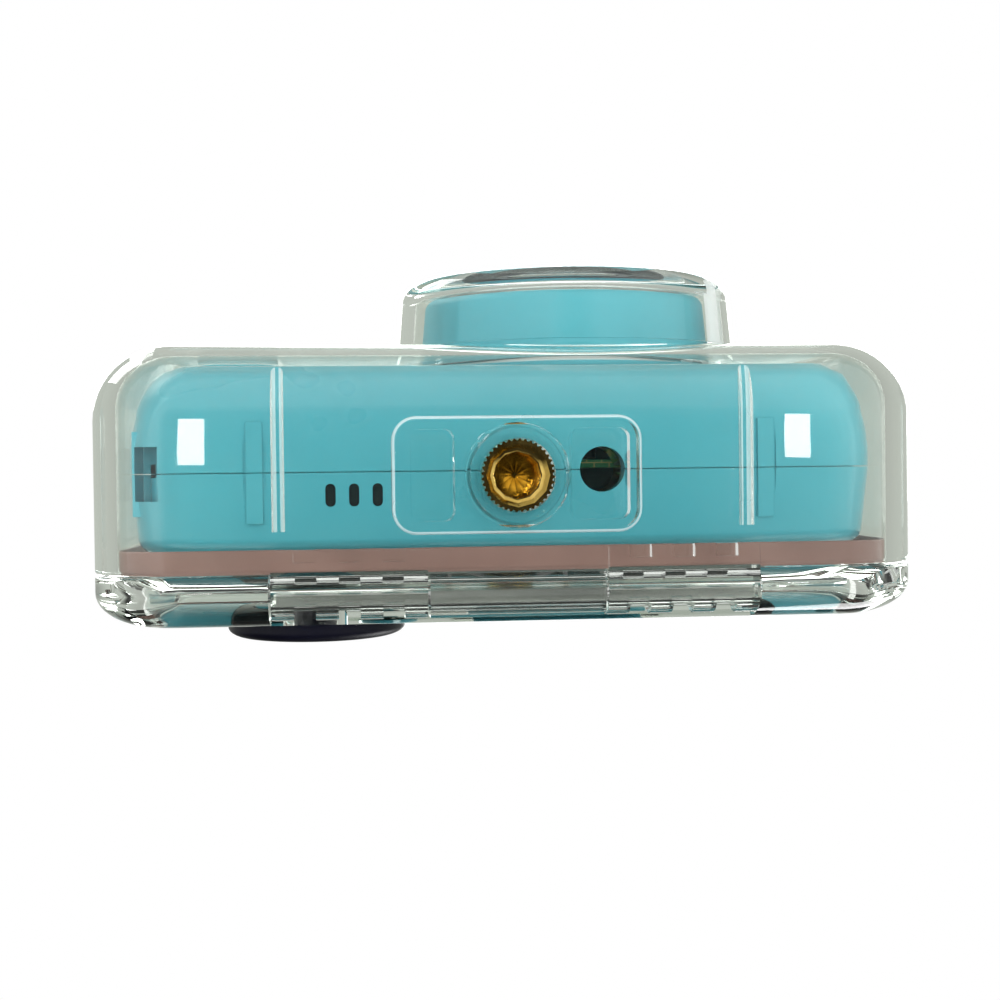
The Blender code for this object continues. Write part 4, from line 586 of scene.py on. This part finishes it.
def build_housing():
    steps = boss_steps() + knuckle_steps() + rib_steps() + lug_steps() + well_steps() + port_steps()
    shell = piece("case_shell", carved(shell_body(), steps), "clear", "housing", "housing_front")
    painted_highlight_edges(shell)
    piece("case_door", carved(door_body(), door_steps()), "clear", "door", "housing_door")
    start = PORT_LOW[1]
    pane = [(GLASS_R - 0.3, start), (GLASS_R - 0.1, start + 0.05), (GLASS_R, start + 0.3), (GLASS_R, PORT_HIGH[1])]
    piece("port_pane", turned("Y", LENS, pane, 128), "glass", "housing", "port_window")
    flap, end = SEAL_LOW[1], SEAL_HIGH[1]
    lip = DOOR_NOSE + 0.4
    proud, under, deep = WALL + 0.2, WALL + 0.4, WALL + 1.15
    half = (end - lip) / 2
    rings = [case_ring(proud + 0.1, flap), case_ring(proud, flap + 0.15), case_ring(proud, lip)]
    for k in range(1, 9):
        a = math.pi / 2 * k / 8
        rings.append(case_ring(proud + 0.3 * (1 - math.cos(a)), lip + half + half * math.sin(a)))
    rings += [case_ring(deep, end), case_ring(deep, lip), case_ring(under, lip),
              case_ring(under, flap + 0.1)]
    piece("case_seal", skin(rings, endless=True), "seal", "door", "door_seal")


def build_insert():
    """The knurled brass insert with its countersunk, grooved bore, and the hinge pin."""
    teeth = []
    count = 40
    for k in range(count):
        for share, radius in ((0.0, 4.02), (0.22, 4.25), (0.5, 4.25), (0.72, 4.02)):
            a = 2 * math.pi * (k + share) / count
            teeth.append((INSERT[0] + radius * math.cos(a), INSERT[1] + radius * math.sin(a)))
    body = extruded("Z", teeth, INSERT_LOW[2], INSERT_HIGH[2])
    bore = [(3.95, -0.2), (3.25, 0.5)]
    depth = 0.5
    while depth < 1.4:
        bore += [(3.15, depth + 0.1), (2.9, depth + 0.22), (2.9, depth + 0.28), (3.15, depth + 0.4)]
        depth += 0.45
    bore += [(2.75, depth), (0.25, depth + 2.5)]
    piece("insert_brass", carved(body, [("-", turned("Z", INSERT, bore, 12))]), "brass", "housing",
          "tripod_insert", sharp=28)
    edge = 0.25
    reach = PIN_HIGH[0]
    pin = [(1.1 - edge, -reach), (1.1, -reach + edge), (1.1, reach - edge), (1.1 - edge, reach)]
    piece("pin_steel", turned("X", HINGE, pin, 40), "steel", "housing", "hinge_pin")


def build_latch():
    pivot = LATCH_PIVOT
    under = TOP + 2.8
    tip = DOOR_BACK + 1.2
    lip = DOOR_FRONT + 3.4
    start = math.degrees(math.asin((under + 0.6 - pivot[1]) / 2.3))
    arm = [(lip - 0.8, under + 0.6), (lip, under), (lip + 1.4, under), (tip, under + 0.8),
           (tip + 0.6, under + 1.8), (tip - 1.0, under + 2.6), (7.5, pivot[1] + 2.3)]
    bm = extruded("X", arm + arc(pivot, 2.3, 90, 360 + start, 28), CLIP_LOW[0], CLIP_HIGH[0])
    steps = [("-", disc("X", pivot, 1.0, -2.0, 26.0, 32))]
    for k in range(4):
        y = tip - 5.4 + 1.3 * k
        groove = slab("Z", (12.0, y), 9.5, 0.28, 0.26, pivot[1] + 1.35, pivot[1] + 4, steps=4)
        steps.append(("-", groove))
    piece("latch_arm", carved(bm, steps), "cyan", "latch", "latch_clip", bevel=0.18)


def build_pad():
    """The rubber cover of the direction pad, with four arrows pressed into it."""
    tip, head = PAD_LOW[1], DOOR_BACK + 0.9
    profile = [(3.5, tip), (4.0, tip + 0.5), (4.0, 15.0), (3.4, 15.0), (3.4, 16.0), (4.0, 16.0), (4.0, head),
               (PAD_R - 0.6, head), (PAD_R - 0.15, head + 0.2), (PAD_R, head + 0.6), (PAD_R, head + 1.3)]
    back = PAD_HIGH[1]
    rise = back - 0.2 - (head + 1.3)
    profile += [(PAD_R - 2.6 * i, head + 1.3 + rise * (1 - d)) for i, d in reversed(quarter(8))][1:]
    profile += [(PAD_R - 4.2, back), (5.0, back), (4.7, back - 0.1), (4.4, back - 0.5), (4.0, back - 0.7)]
    marks = []
    for k in range(4):
        a = math.pi / 2 * k
        middle = 7.6
        points = [(middle + 0.9, 0.0), (middle - 0.5, 1.1), (middle - 0.5, -1.1)]
        turn = [(PAD[0] + u * math.cos(a) - v * math.sin(a),
                 PAD[1] + u * math.sin(a) + v * math.cos(a)) for u, v in points]
        marks.append(("-", extruded("Y", turn, back - 0.35, back + 1)))
    cover = carved(turned("Y", PAD, profile, 128), marks)
    piece("pad_rubber", cover, "rubber", "pad_cover_body", "pad_cover")


def build_plungers():
    for name, (cap, button) in PLUNGERS.items():
        centre = plunger_centre(name)
        low, high = box_mm(f"{name}_plunger")
        foot, crown = low[2], high[2]
        cap_low = crown - 4.0
        clip = TOP - WALL - 0.3
        profile = [(1.2, foot), (1.5, foot + 0.3), (1.5, clip - 0.7), (1.1, clip - 0.7), (1.1, clip),
                   (1.5, clip), (1.5, cap_low + 1.4), (cap - 1.6, cap_low + 1.4), (cap - 1.6, cap_low),
                   (cap - 0.15, cap_low), (cap, cap_low + 0.2)]
        profile += [(cap - 1.0 * i, crown - 1.0 * d) for i, d in reversed(quarter(6))]
        profile += [(cap * 0.6, crown), (cap * 0.5, crown - 0.12), (cap * 0.3, crown - 0.3),
                    (0.2, crown - 0.36)]
        piece(f"{name}_cap", turned("Z", centre, profile, 96), "cyan", f"{name}_plunger_body",
              f"{name}_plunger")
        low, high = box_mm(f"{name}_button")
        flange = (high[0] - low[0]) / 2
        profile = [(flange, low[2]), (flange, low[2] + 0.8), (button, low[2] + 0.8), (button, high[2] - 0.4),
                   (button - 0.12, high[2] - 0.12), (button - 0.4, high[2])]
        piece(f"{name}_key_top", turned("Z", centre, profile, 80), "cyan", f"{name}_button_body",
              f"{name}_button")


def build_springs():
    """Each plunger's coil, with a mesh of its own; the real coil shortens as the plunger goes down."""
    wire, turns, around = 0.28, 4.5, 28
    for name in PLUNGERS:
        low, high = box_mm(f"{name}_plunger_spring")
        x, y = (low[0] + high[0]) / 2, (low[1] + high[1]) / 2
        radius = (high[0] - low[0]) / 2 - wire
        climb = high[2] - low[2] - 2 * wire
        count = int(turns * around)
        rings = []
        for k in range(count + 1):
            a = 2 * math.pi * k / around
            z = low[2] + wire + climb * min(max((k - around / 2) / (count - around), 0.0), 1.0)
            rings.append([Vector((x + (radius + wire * math.cos(b)) * math.cos(a),
                                  y + (radius + wire * math.cos(b)) * math.sin(a), z + wire * math.sin(b)))
                          for b in (2 * math.pi * side / 10 for side in range(10))])
        coil = piece(f"{name}_spring_coil", skin(rings), "steel", "housing", f"{name}_plunger_spring")
        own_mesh(coil)


# ---------------------------------------------------------------- camera


def camera_ring(inset, y):
    half_h = (CAM_TOP - CAM_BOTTOM) / 2
    return rounded("Y", (0.0, CAM_MID), CAM_HALF - inset, half_h - inset, max(CAM_CORNER - inset, 1.0), y)


def foot_steps(start, end, margins):
    """The camera's two low feet, each in a shallow tray."""
    steps = []
    for x in (-FOOT_X, FOOT_X):
        steps += [("-", block((x - 1.3, x + 1.3), (start - margins[0], end + margins[1]),
                              (CAM_BOTTOM - 1, CAM_BOTTOM + 0.35))),
                  ("+", block((x - 0.95, x + 0.95), (start, end), (CAM_BOTTOM - 0.2, CAM_BOTTOM + 0.9)))]
    return steps


def strap_steps(front, back):
    """The strap's slot: up from the underside and out through the side."""
    low, high = STRAP[0] - CAM_HALF, STRAP[1] - CAM_HALF
    deep = CAM_BOTTOM + STRAP_DEPTH
    fill = block((low - 0.3, high + 1.8), (max(front, CAM_SEAM - 5.0), min(back, CAM_SEAM + 5.0)),
                 (CAM_BOTTOM + 4.0, deep + 1.8))
    slot = (CAM_SEAM - STRAP_HALF, CAM_SEAM + STRAP_HALF)
    return [("+", fill), ("-", block((low, high), slot, (CAM_BOTTOM - 1, deep))),
            ("-", block((low - 11.0, low + 1), slot, (deep - 4.0, deep)))]


def hole_steps():
    """The camera's own tripod socket, and the holes of its two top buttons."""
    steps = [("-", disc("Z", (SOCKET_X, CAM_SEAM), 2.7, CAM_BOTTOM - 1, CAM_BOTTOM + 2.8, 64))]
    for name, (_, button) in PLUNGERS.items():
        steps.append(("-", disc("Z", plunger_centre(name), button + 0.3, CAM_TOP - 2.8, CAM_TOP + 1, 80)))
    return steps


def build_covers():
    """The camera's front and rear covers, the tongue that joins them, and the grip."""
    half_w, half_h = CAM_HALF - 5.9, (CAM_TOP - CAM_BOTTOM) / 2 - 6.2
    screws = [(su * half_w, CAM_MID + sv * half_h) for sv in (-1, 1) for su in (-1, 1)]
    seam = CAM_SEAM - 0.05
    outer = [camera_ring(7.0 * i, CAM_FRONT + 11.5 * d) for i, d in quarter(20)]
    inner = [camera_ring(COVER + 7.0 * i, CAM_FRONT + COVER + 9.7 * d) for i, d in reversed(quarter(10))]
    rim = [camera_ring(0.0, seam - 0.12), camera_ring(0.06, seam), camera_ring(COVER, seam)]
    body = skin(outer + rim + inner)
    steps = foot_steps(CAM_SEAM - 5.9, seam, (0.35, 1.0)) + strap_steps(-999.0, seam) + hole_steps()
    steps.append(("-", disc("Y", LENS, 6.3, CAM_FRONT - 1, CAM_FRONT + 2.8, 64)))
    low, high = box_mm("flash_window")
    flash = ((low[0] + high[0]) / 2, (low[2] + high[2]) / 2)
    steps.append(("-", disc("Y", flash, 3.35, CAM_FRONT - 1, CAM_FRONT + 2.8, 64)))
    piece("cover_front", carved(body, steps), "cyan", "housing", "camera_front_cover")
    seam = CAM_SEAM + 0.05
    rings = [camera_ring(3.3, CAM_BACK - 1.8), camera_ring(2.7, CAM_BACK - 2.4), camera_ring(COVER, seam),
             camera_ring(0.06, seam), camera_ring(0.0, seam + 0.12), camera_ring(0.9, CAM_BACK - 2.0)]
    rings += [camera_ring(0.9 + 2.0 * i, CAM_BACK - 2.0 * d) for i, d in list(reversed(quarter(8)))[1:]]
    steps = foot_steps(seam, CAM_SEAM + 5.9, (1.0, 0.35)) + strap_steps(seam, 999.0) + hole_steps()
    head = CAM_BACK - 1.6
    for place in screws:
        steps += [("+", disc("Y", place, 2.8, seam + 0.4, CAM_BACK - 0.9, 32)),
                  ("-", disc("Y", place, 1.9, head - 0.3, CAM_BACK + 1, 40)),
                  ("-", disc("Y", place, 1.0, seam - 1, head + 1, 24))]
    for k in (-1, 0, 1):
        place = (SOUND_X + 2.75 * k, 4.5)
        steps.append(("-", slab("Z", place, 0.6, 1.35, 0.58, CAM_BOTTOM - 1, CAM_BOTTOM + 2.8)))
    half = ((PANEL_HIGH[0] - PANEL_LOW[0]) / 2 + 0.15, (PANEL_HIGH[2] - PANEL_LOW[2]) / 2 + 0.15)
    steps.append(("-", slab("Y", (0.0, CAM_MID), *half, 3.15, PANEL_LOW[1] - 0.3, CAM_BACK + 1)))
    low, high = box_mm("display_module")
    steps.append(("-", block((low[0] - 0.3, high[0] + 0.3), (CAM_BACK - 3.6, CAM_BACK + 1),
                             (low[2] - 0.3, high[2] + 0.3))))
    steps.append(("-", disc("Y", PAD, KEYS_R, CAM_BACK - 3.6, CAM_BACK + 1, 64)))
    piece("cover_rear", carved(skin(rings), steps), "cyan", "housing", "camera_rear_cover")
    tongue = [camera_ring(1.85, CAM_SEAM - 1.2), camera_ring(1.85, CAM_SEAM + 1.2),
              camera_ring(2.5, CAM_SEAM + 1.2), camera_ring(2.5, CAM_SEAM - 1.2)]
    slot = block((-CAM_HALF - 1, STRAP[1] - CAM_HALF), (CAM_SEAM - STRAP_HALF, CAM_SEAM + STRAP_HALF),
                 (CAM_BOTTOM - 1, CAM_BOTTOM + STRAP_DEPTH))
    piece("cover_tongue", carved(skin(tongue, endless=True), hole_steps() + [("-", slot)]), "cyan", "housing")
    low, high = box_mm("front_grip")
    centre = ((low[0] + high[0]) / 2, (low[2] + high[2]) / 2)
    grip = slab("Y", centre, (high[0] - low[0]) / 2, (high[2] - low[2]) / 2, 3.0, low[1], high[1], edge=0.25,
                both=False)
    piece("grip", grip, "cyan", "housing", "front_grip")


def build_lens():
    """The barrel, the grooved face ring inside it, and the lens window."""
    front, base = BARREL_LOW[1], BARREL_HIGH[1]
    tip = BARREL_R - 0.8
    inner = tip - 2.2
    outer = [(tip - 1.5 * i, front + 1.5 * d) for i, d in quarter(10)]
    inside = [(inner, base), (inner, front + 0.6), (inner + 0.15, front + 0.15), (inner + 0.5, front)]
    piece("barrel", turned("Y", LENS, outer + [(BARREL_R, base)] + inside, 160, endless=True), "satin",
          "housing", "lens_barrel")
    low, high = box_mm("lens_face")
    face_front, face_back = low[1], high[1]
    rim = (high[0] - low[0]) / 2
    mouth = 7.65
    face = [(rim, face_back), (rim, face_front + 0.15), (rim - 0.15, face_front), (rim - 2.5, face_front),
            (rim - 2.6, face_front + 0.05), (rim - 3.0, face_front + 0.55)]
    radius = rim - 3.2
    while radius > mouth + 2.9:
        face += [(radius, face_front + 0.6), (radius - 0.15, face_front + 0.45), (radius - 0.3, face_front + 0.6)]
        radius -= 0.7
    face += [(mouth + 2.2, face_front + 0.6), (mouth + 1.7, face_front + 0.05), (mouth + 1.6, face_front),
             (mouth + 0.15, face_front), (mouth, face_front + 0.15), (mouth, face_back - 0.8),
             (mouth - 1.6, face_back - 0.8), (mouth - 1.6, face_back)]
    piece("face_ring", turned("Y", LENS, face, 128, endless=True), "black", "housing", "lens_face", sharp=20)
    low, high = box_mm("lens_window")
    pane = [(7.2, low[1]), (7.4, low[1] + 0.08), (7.5, low[1] + 0.3), (7.5, high[1])]
    piece("lens_pane", turned("Y", LENS, pane, 96), "glass", "housing", "lens_window")


def build_back():
    """The glass over the display, and the five keys beside it."""
    centre = ((PANEL_LOW[0] + PANEL_HIGH[0]) / 2, CAM_MID)
    half = ((PANEL_HIGH[0] - PANEL_LOW[0]) / 2, (PANEL_HIGH[2] - PANEL_LOW[2]) / 2)
    plate = slab("Y", centre, half[0], half[1], 3.0, PANEL_LOW[1], PANEL_HIGH[1], edge=0.25, steps=12)
    steps = [("-", disc("Y", PAD, KEYS_R, PANEL_LOW[1] - 1, PANEL_HIGH[1] + 1, 96))]
    piece("back_glass", carved(plate, steps), "gloss", "housing", "rear_panel")
    low, high = box_mm("ok_key")
    profile = [(3.7, low[1]), (3.7, high[1] - 0.4), (3.58, high[1] - 0.12), (3.3, high[1]), (1.0, high[1])]
    piece("ok_cap", turned("Y", PAD, profile, 64), "cyan", "ok_key_body", "ok_key")
    for name, middle in (("up", 90), ("left", 0), ("down", 270), ("right", 180)):
        low, high = box_mm(f"key_{name}")
        outline = arc(PAD, 8.0, middle - 41, middle + 41, 24) + arc(PAD, 4.3, middle + 38, middle - 38, 16)
        piece(f"{name}_cap", extruded("Y", outline, low[1], high[1]), "cyan", f"key_{name}_body",
              f"key_{name}", bevel=0.15)


def finish_cad_nodes():
    """Materials for the CAD nodes that stay."""
    looks = {"clear_plastic": "clear", "cyan_plastic": "cyan", "black_plastic": "black",
             "black_rubber": "rubber", "seal_rubber": "seal", "steel": "steel", "brass": "brass",
             "glass": "glass", "board_green": "board", "battery_wrap": "wrap", "white_plastic": "white"}
    own = {"display_module": "screen", "memory_card": "black"}
    for name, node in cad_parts.items():
        for slot in node.material_slots:
            kind = slot.material.name.split(".")[0] if slot.material else ""
            slot.material = MATERIALS[own.get(name) or looks.get(kind, "black")]


# ---------------------------------------------------------------- stage, light and camera


def build_stage():
    """A pale floor, which can't be seen from below."""
    made, tree, shader, out = new_material("floor_paper")
    tone = ramp(tree, noise(tree, 6.0), ((0.3, (0.86, 0.86, 0.855)), (0.7, (0.90, 0.90, 0.895))))
    tree.links.new(tone, shader.inputs["Base Color"])
    shader.inputs["Roughness"].default_value = 0.9
    sides = tree.nodes.new("ShaderNodeNewGeometry")
    through = tree.nodes.new("ShaderNodeBsdfTransparent")
    mix = tree.nodes.new("ShaderNodeMixShader")
    tree.links.new(sides.outputs["Backfacing"], mix.inputs[0])
    tree.links.new(shader.outputs[0], mix.inputs[1])
    tree.links.new(through.outputs[0], mix.inputs[2])
    tree.links.new(mix.outputs[0], out.inputs[0])
    mesh = bpy.data.meshes.new("floor")
    reach, under = 1.5, -0.0003
    mesh.from_pydata([(-reach, -reach, under), (reach, -reach, under), (reach, reach, under),
                      (-reach, reach, under)], [], [(0, 1, 2, 3)])
    mesh.materials.append(made)
    floor = bpy.data.objects.new("floor", mesh)
    bpy.context.scene.collection.objects.link(floor)
    floor.visible_shadow = False
    floor.visible_diffuse = False
    floor.visible_glossy = False


def area(name, place, target, width, height, power, mirrored=True, seen=False):
    """A soft lamp. A mirrored one shows in glossy surfaces, and a seen one also through clear ones."""
    data = bpy.data.lights.new(name, "AREA")
    data.shape = "RECTANGLE"
    data.size, data.size_y = width, height
    data.energy = power
    lamp = bpy.data.objects.new(name, data)
    lamp.location = place
    lamp.rotation_euler = (Vector(target) - Vector(place)).to_track_quat("-Z", "Y").to_euler()
    lamp.visible_camera = False
    lamp.visible_diffuse = not seen
    lamp.visible_transmission = seen
    lamp.visible_glossy = mirrored
    bpy.context.scene.collection.objects.link(lamp)


def build_light():
    """The camera sees white. Surfaces mirror a graded room, with a dark card behind the object."""
    world = bpy.data.worlds.new("studio")
    bpy.context.scene.world = world
    world.use_nodes = True
    tree = world.node_tree
    tree.nodes.clear()
    out = tree.nodes.new("ShaderNodeOutputWorld")
    seen = tree.nodes.new("ShaderNodeBackground")
    seen.inputs[0].default_value = (1, 1, 1, 1)
    lit = tree.nodes.new("ShaderNodeBackground")
    coords = tree.nodes.new("ShaderNodeTexCoord")
    split = tree.nodes.new("ShaderNodeSeparateXYZ")
    tree.links.new(coords.outputs["Generated"], split.inputs[0])

    def graded(axis, stops):
        fit = tree.nodes.new("ShaderNodeMapRange")
        fit.inputs["From Min"].default_value = -1.0
        tree.links.new(split.outputs[axis], fit.inputs["Value"])
        return ramp(tree, fit.outputs[0], stops)

    upright = graded("Z", ((0.0, (0.03, 0.03, 0.03)), (0.012, (0.05, 0.05, 0.05)),
                           (0.035, (1.05, 1.05, 1.05)), (0.30, (0.88, 0.88, 0.87)),
                           (0.46, (0.50, 0.51, 0.48)), (0.60, (0.46, 0.48, 0.44)),
                           (1.0, (0.56, 0.59, 0.54))))
    card = graded("Y", ((0.62, (1.0, 1.0, 1.0)), (0.78, (0.06, 0.06, 0.06))))
    both = tree.nodes.new("ShaderNodeMix")
    both.data_type = "RGBA"
    both.blend_type = "MULTIPLY"
    both.inputs[0].default_value = 1.0
    tree.links.new(upright, both.inputs[6])
    tree.links.new(card, both.inputs[7])
    tree.links.new(both.outputs[2], lit.inputs[0])
    path = tree.nodes.new("ShaderNodeLightPath")
    mix = tree.nodes.new("ShaderNodeMixShader")
    tree.links.new(path.outputs["Is Camera Ray"], mix.inputs[0])
    tree.links.new(lit.outputs[0], mix.inputs[1])
    tree.links.new(seen.outputs[0], mix.inputs[2])
    tree.links.new(mix.outputs[0], out.inputs[0])
    for name, x in (("box_left", -0.093), ("box_right", 0.187)):
        area(name, (x, -0.0175, -0.50), (x, -0.0175, 0.0), *GLINT, GLINT_POWER, seen=True)
    area("under", (0.0, -0.05, -0.6), (0.0, -0.05, 0.0), 0.5, 0.5, 4.4, mirrored=False)
    middle = (0.0, 0.0, 0.03)
    area("sky", (0.1, -0.15, 0.7), middle, 0.6, 0.6, 3.5)
    area("key", (-0.5, -0.5, 0.45), middle, 0.35, 0.35, 2.6)
    area("back", (0.4, 0.6, 0.4), middle, 0.35, 0.35, 2.2)


def build_camera_view():
    """From straight below, turned a little, as the object was photographed."""
    data = bpy.data.cameras.new("view")
    data.lens = 52.986
    data.sensor_width = 36.0
    data.clip_start, data.clip_end = 0.01, 20.0
    view = bpy.data.objects.new("view", data)
    right = Vector((0.99527, 0.01189, -0.09644))
    up = Vector((0.01378, -0.99972, 0.01899))
    back = right.cross(up).normalized()
    up = back.cross(right).normalized()
    turn = Matrix((right.normalized(), up, back)).transposed().to_4x4()
    view.matrix_world = Matrix.Translation((-0.01839, 0.00180, -0.16794)) @ turn
    bpy.context.scene.collection.objects.link(view)
    bpy.context.scene.camera = view
    bpy.context.scene.view_settings.view_transform = "Standard"


finish_cad_nodes()
build_housing()
build_insert()
build_latch()
build_pad()
build_plungers()
build_springs()
build_covers()
build_lens()
build_back()
build_stage()
build_light()
build_camera_view()
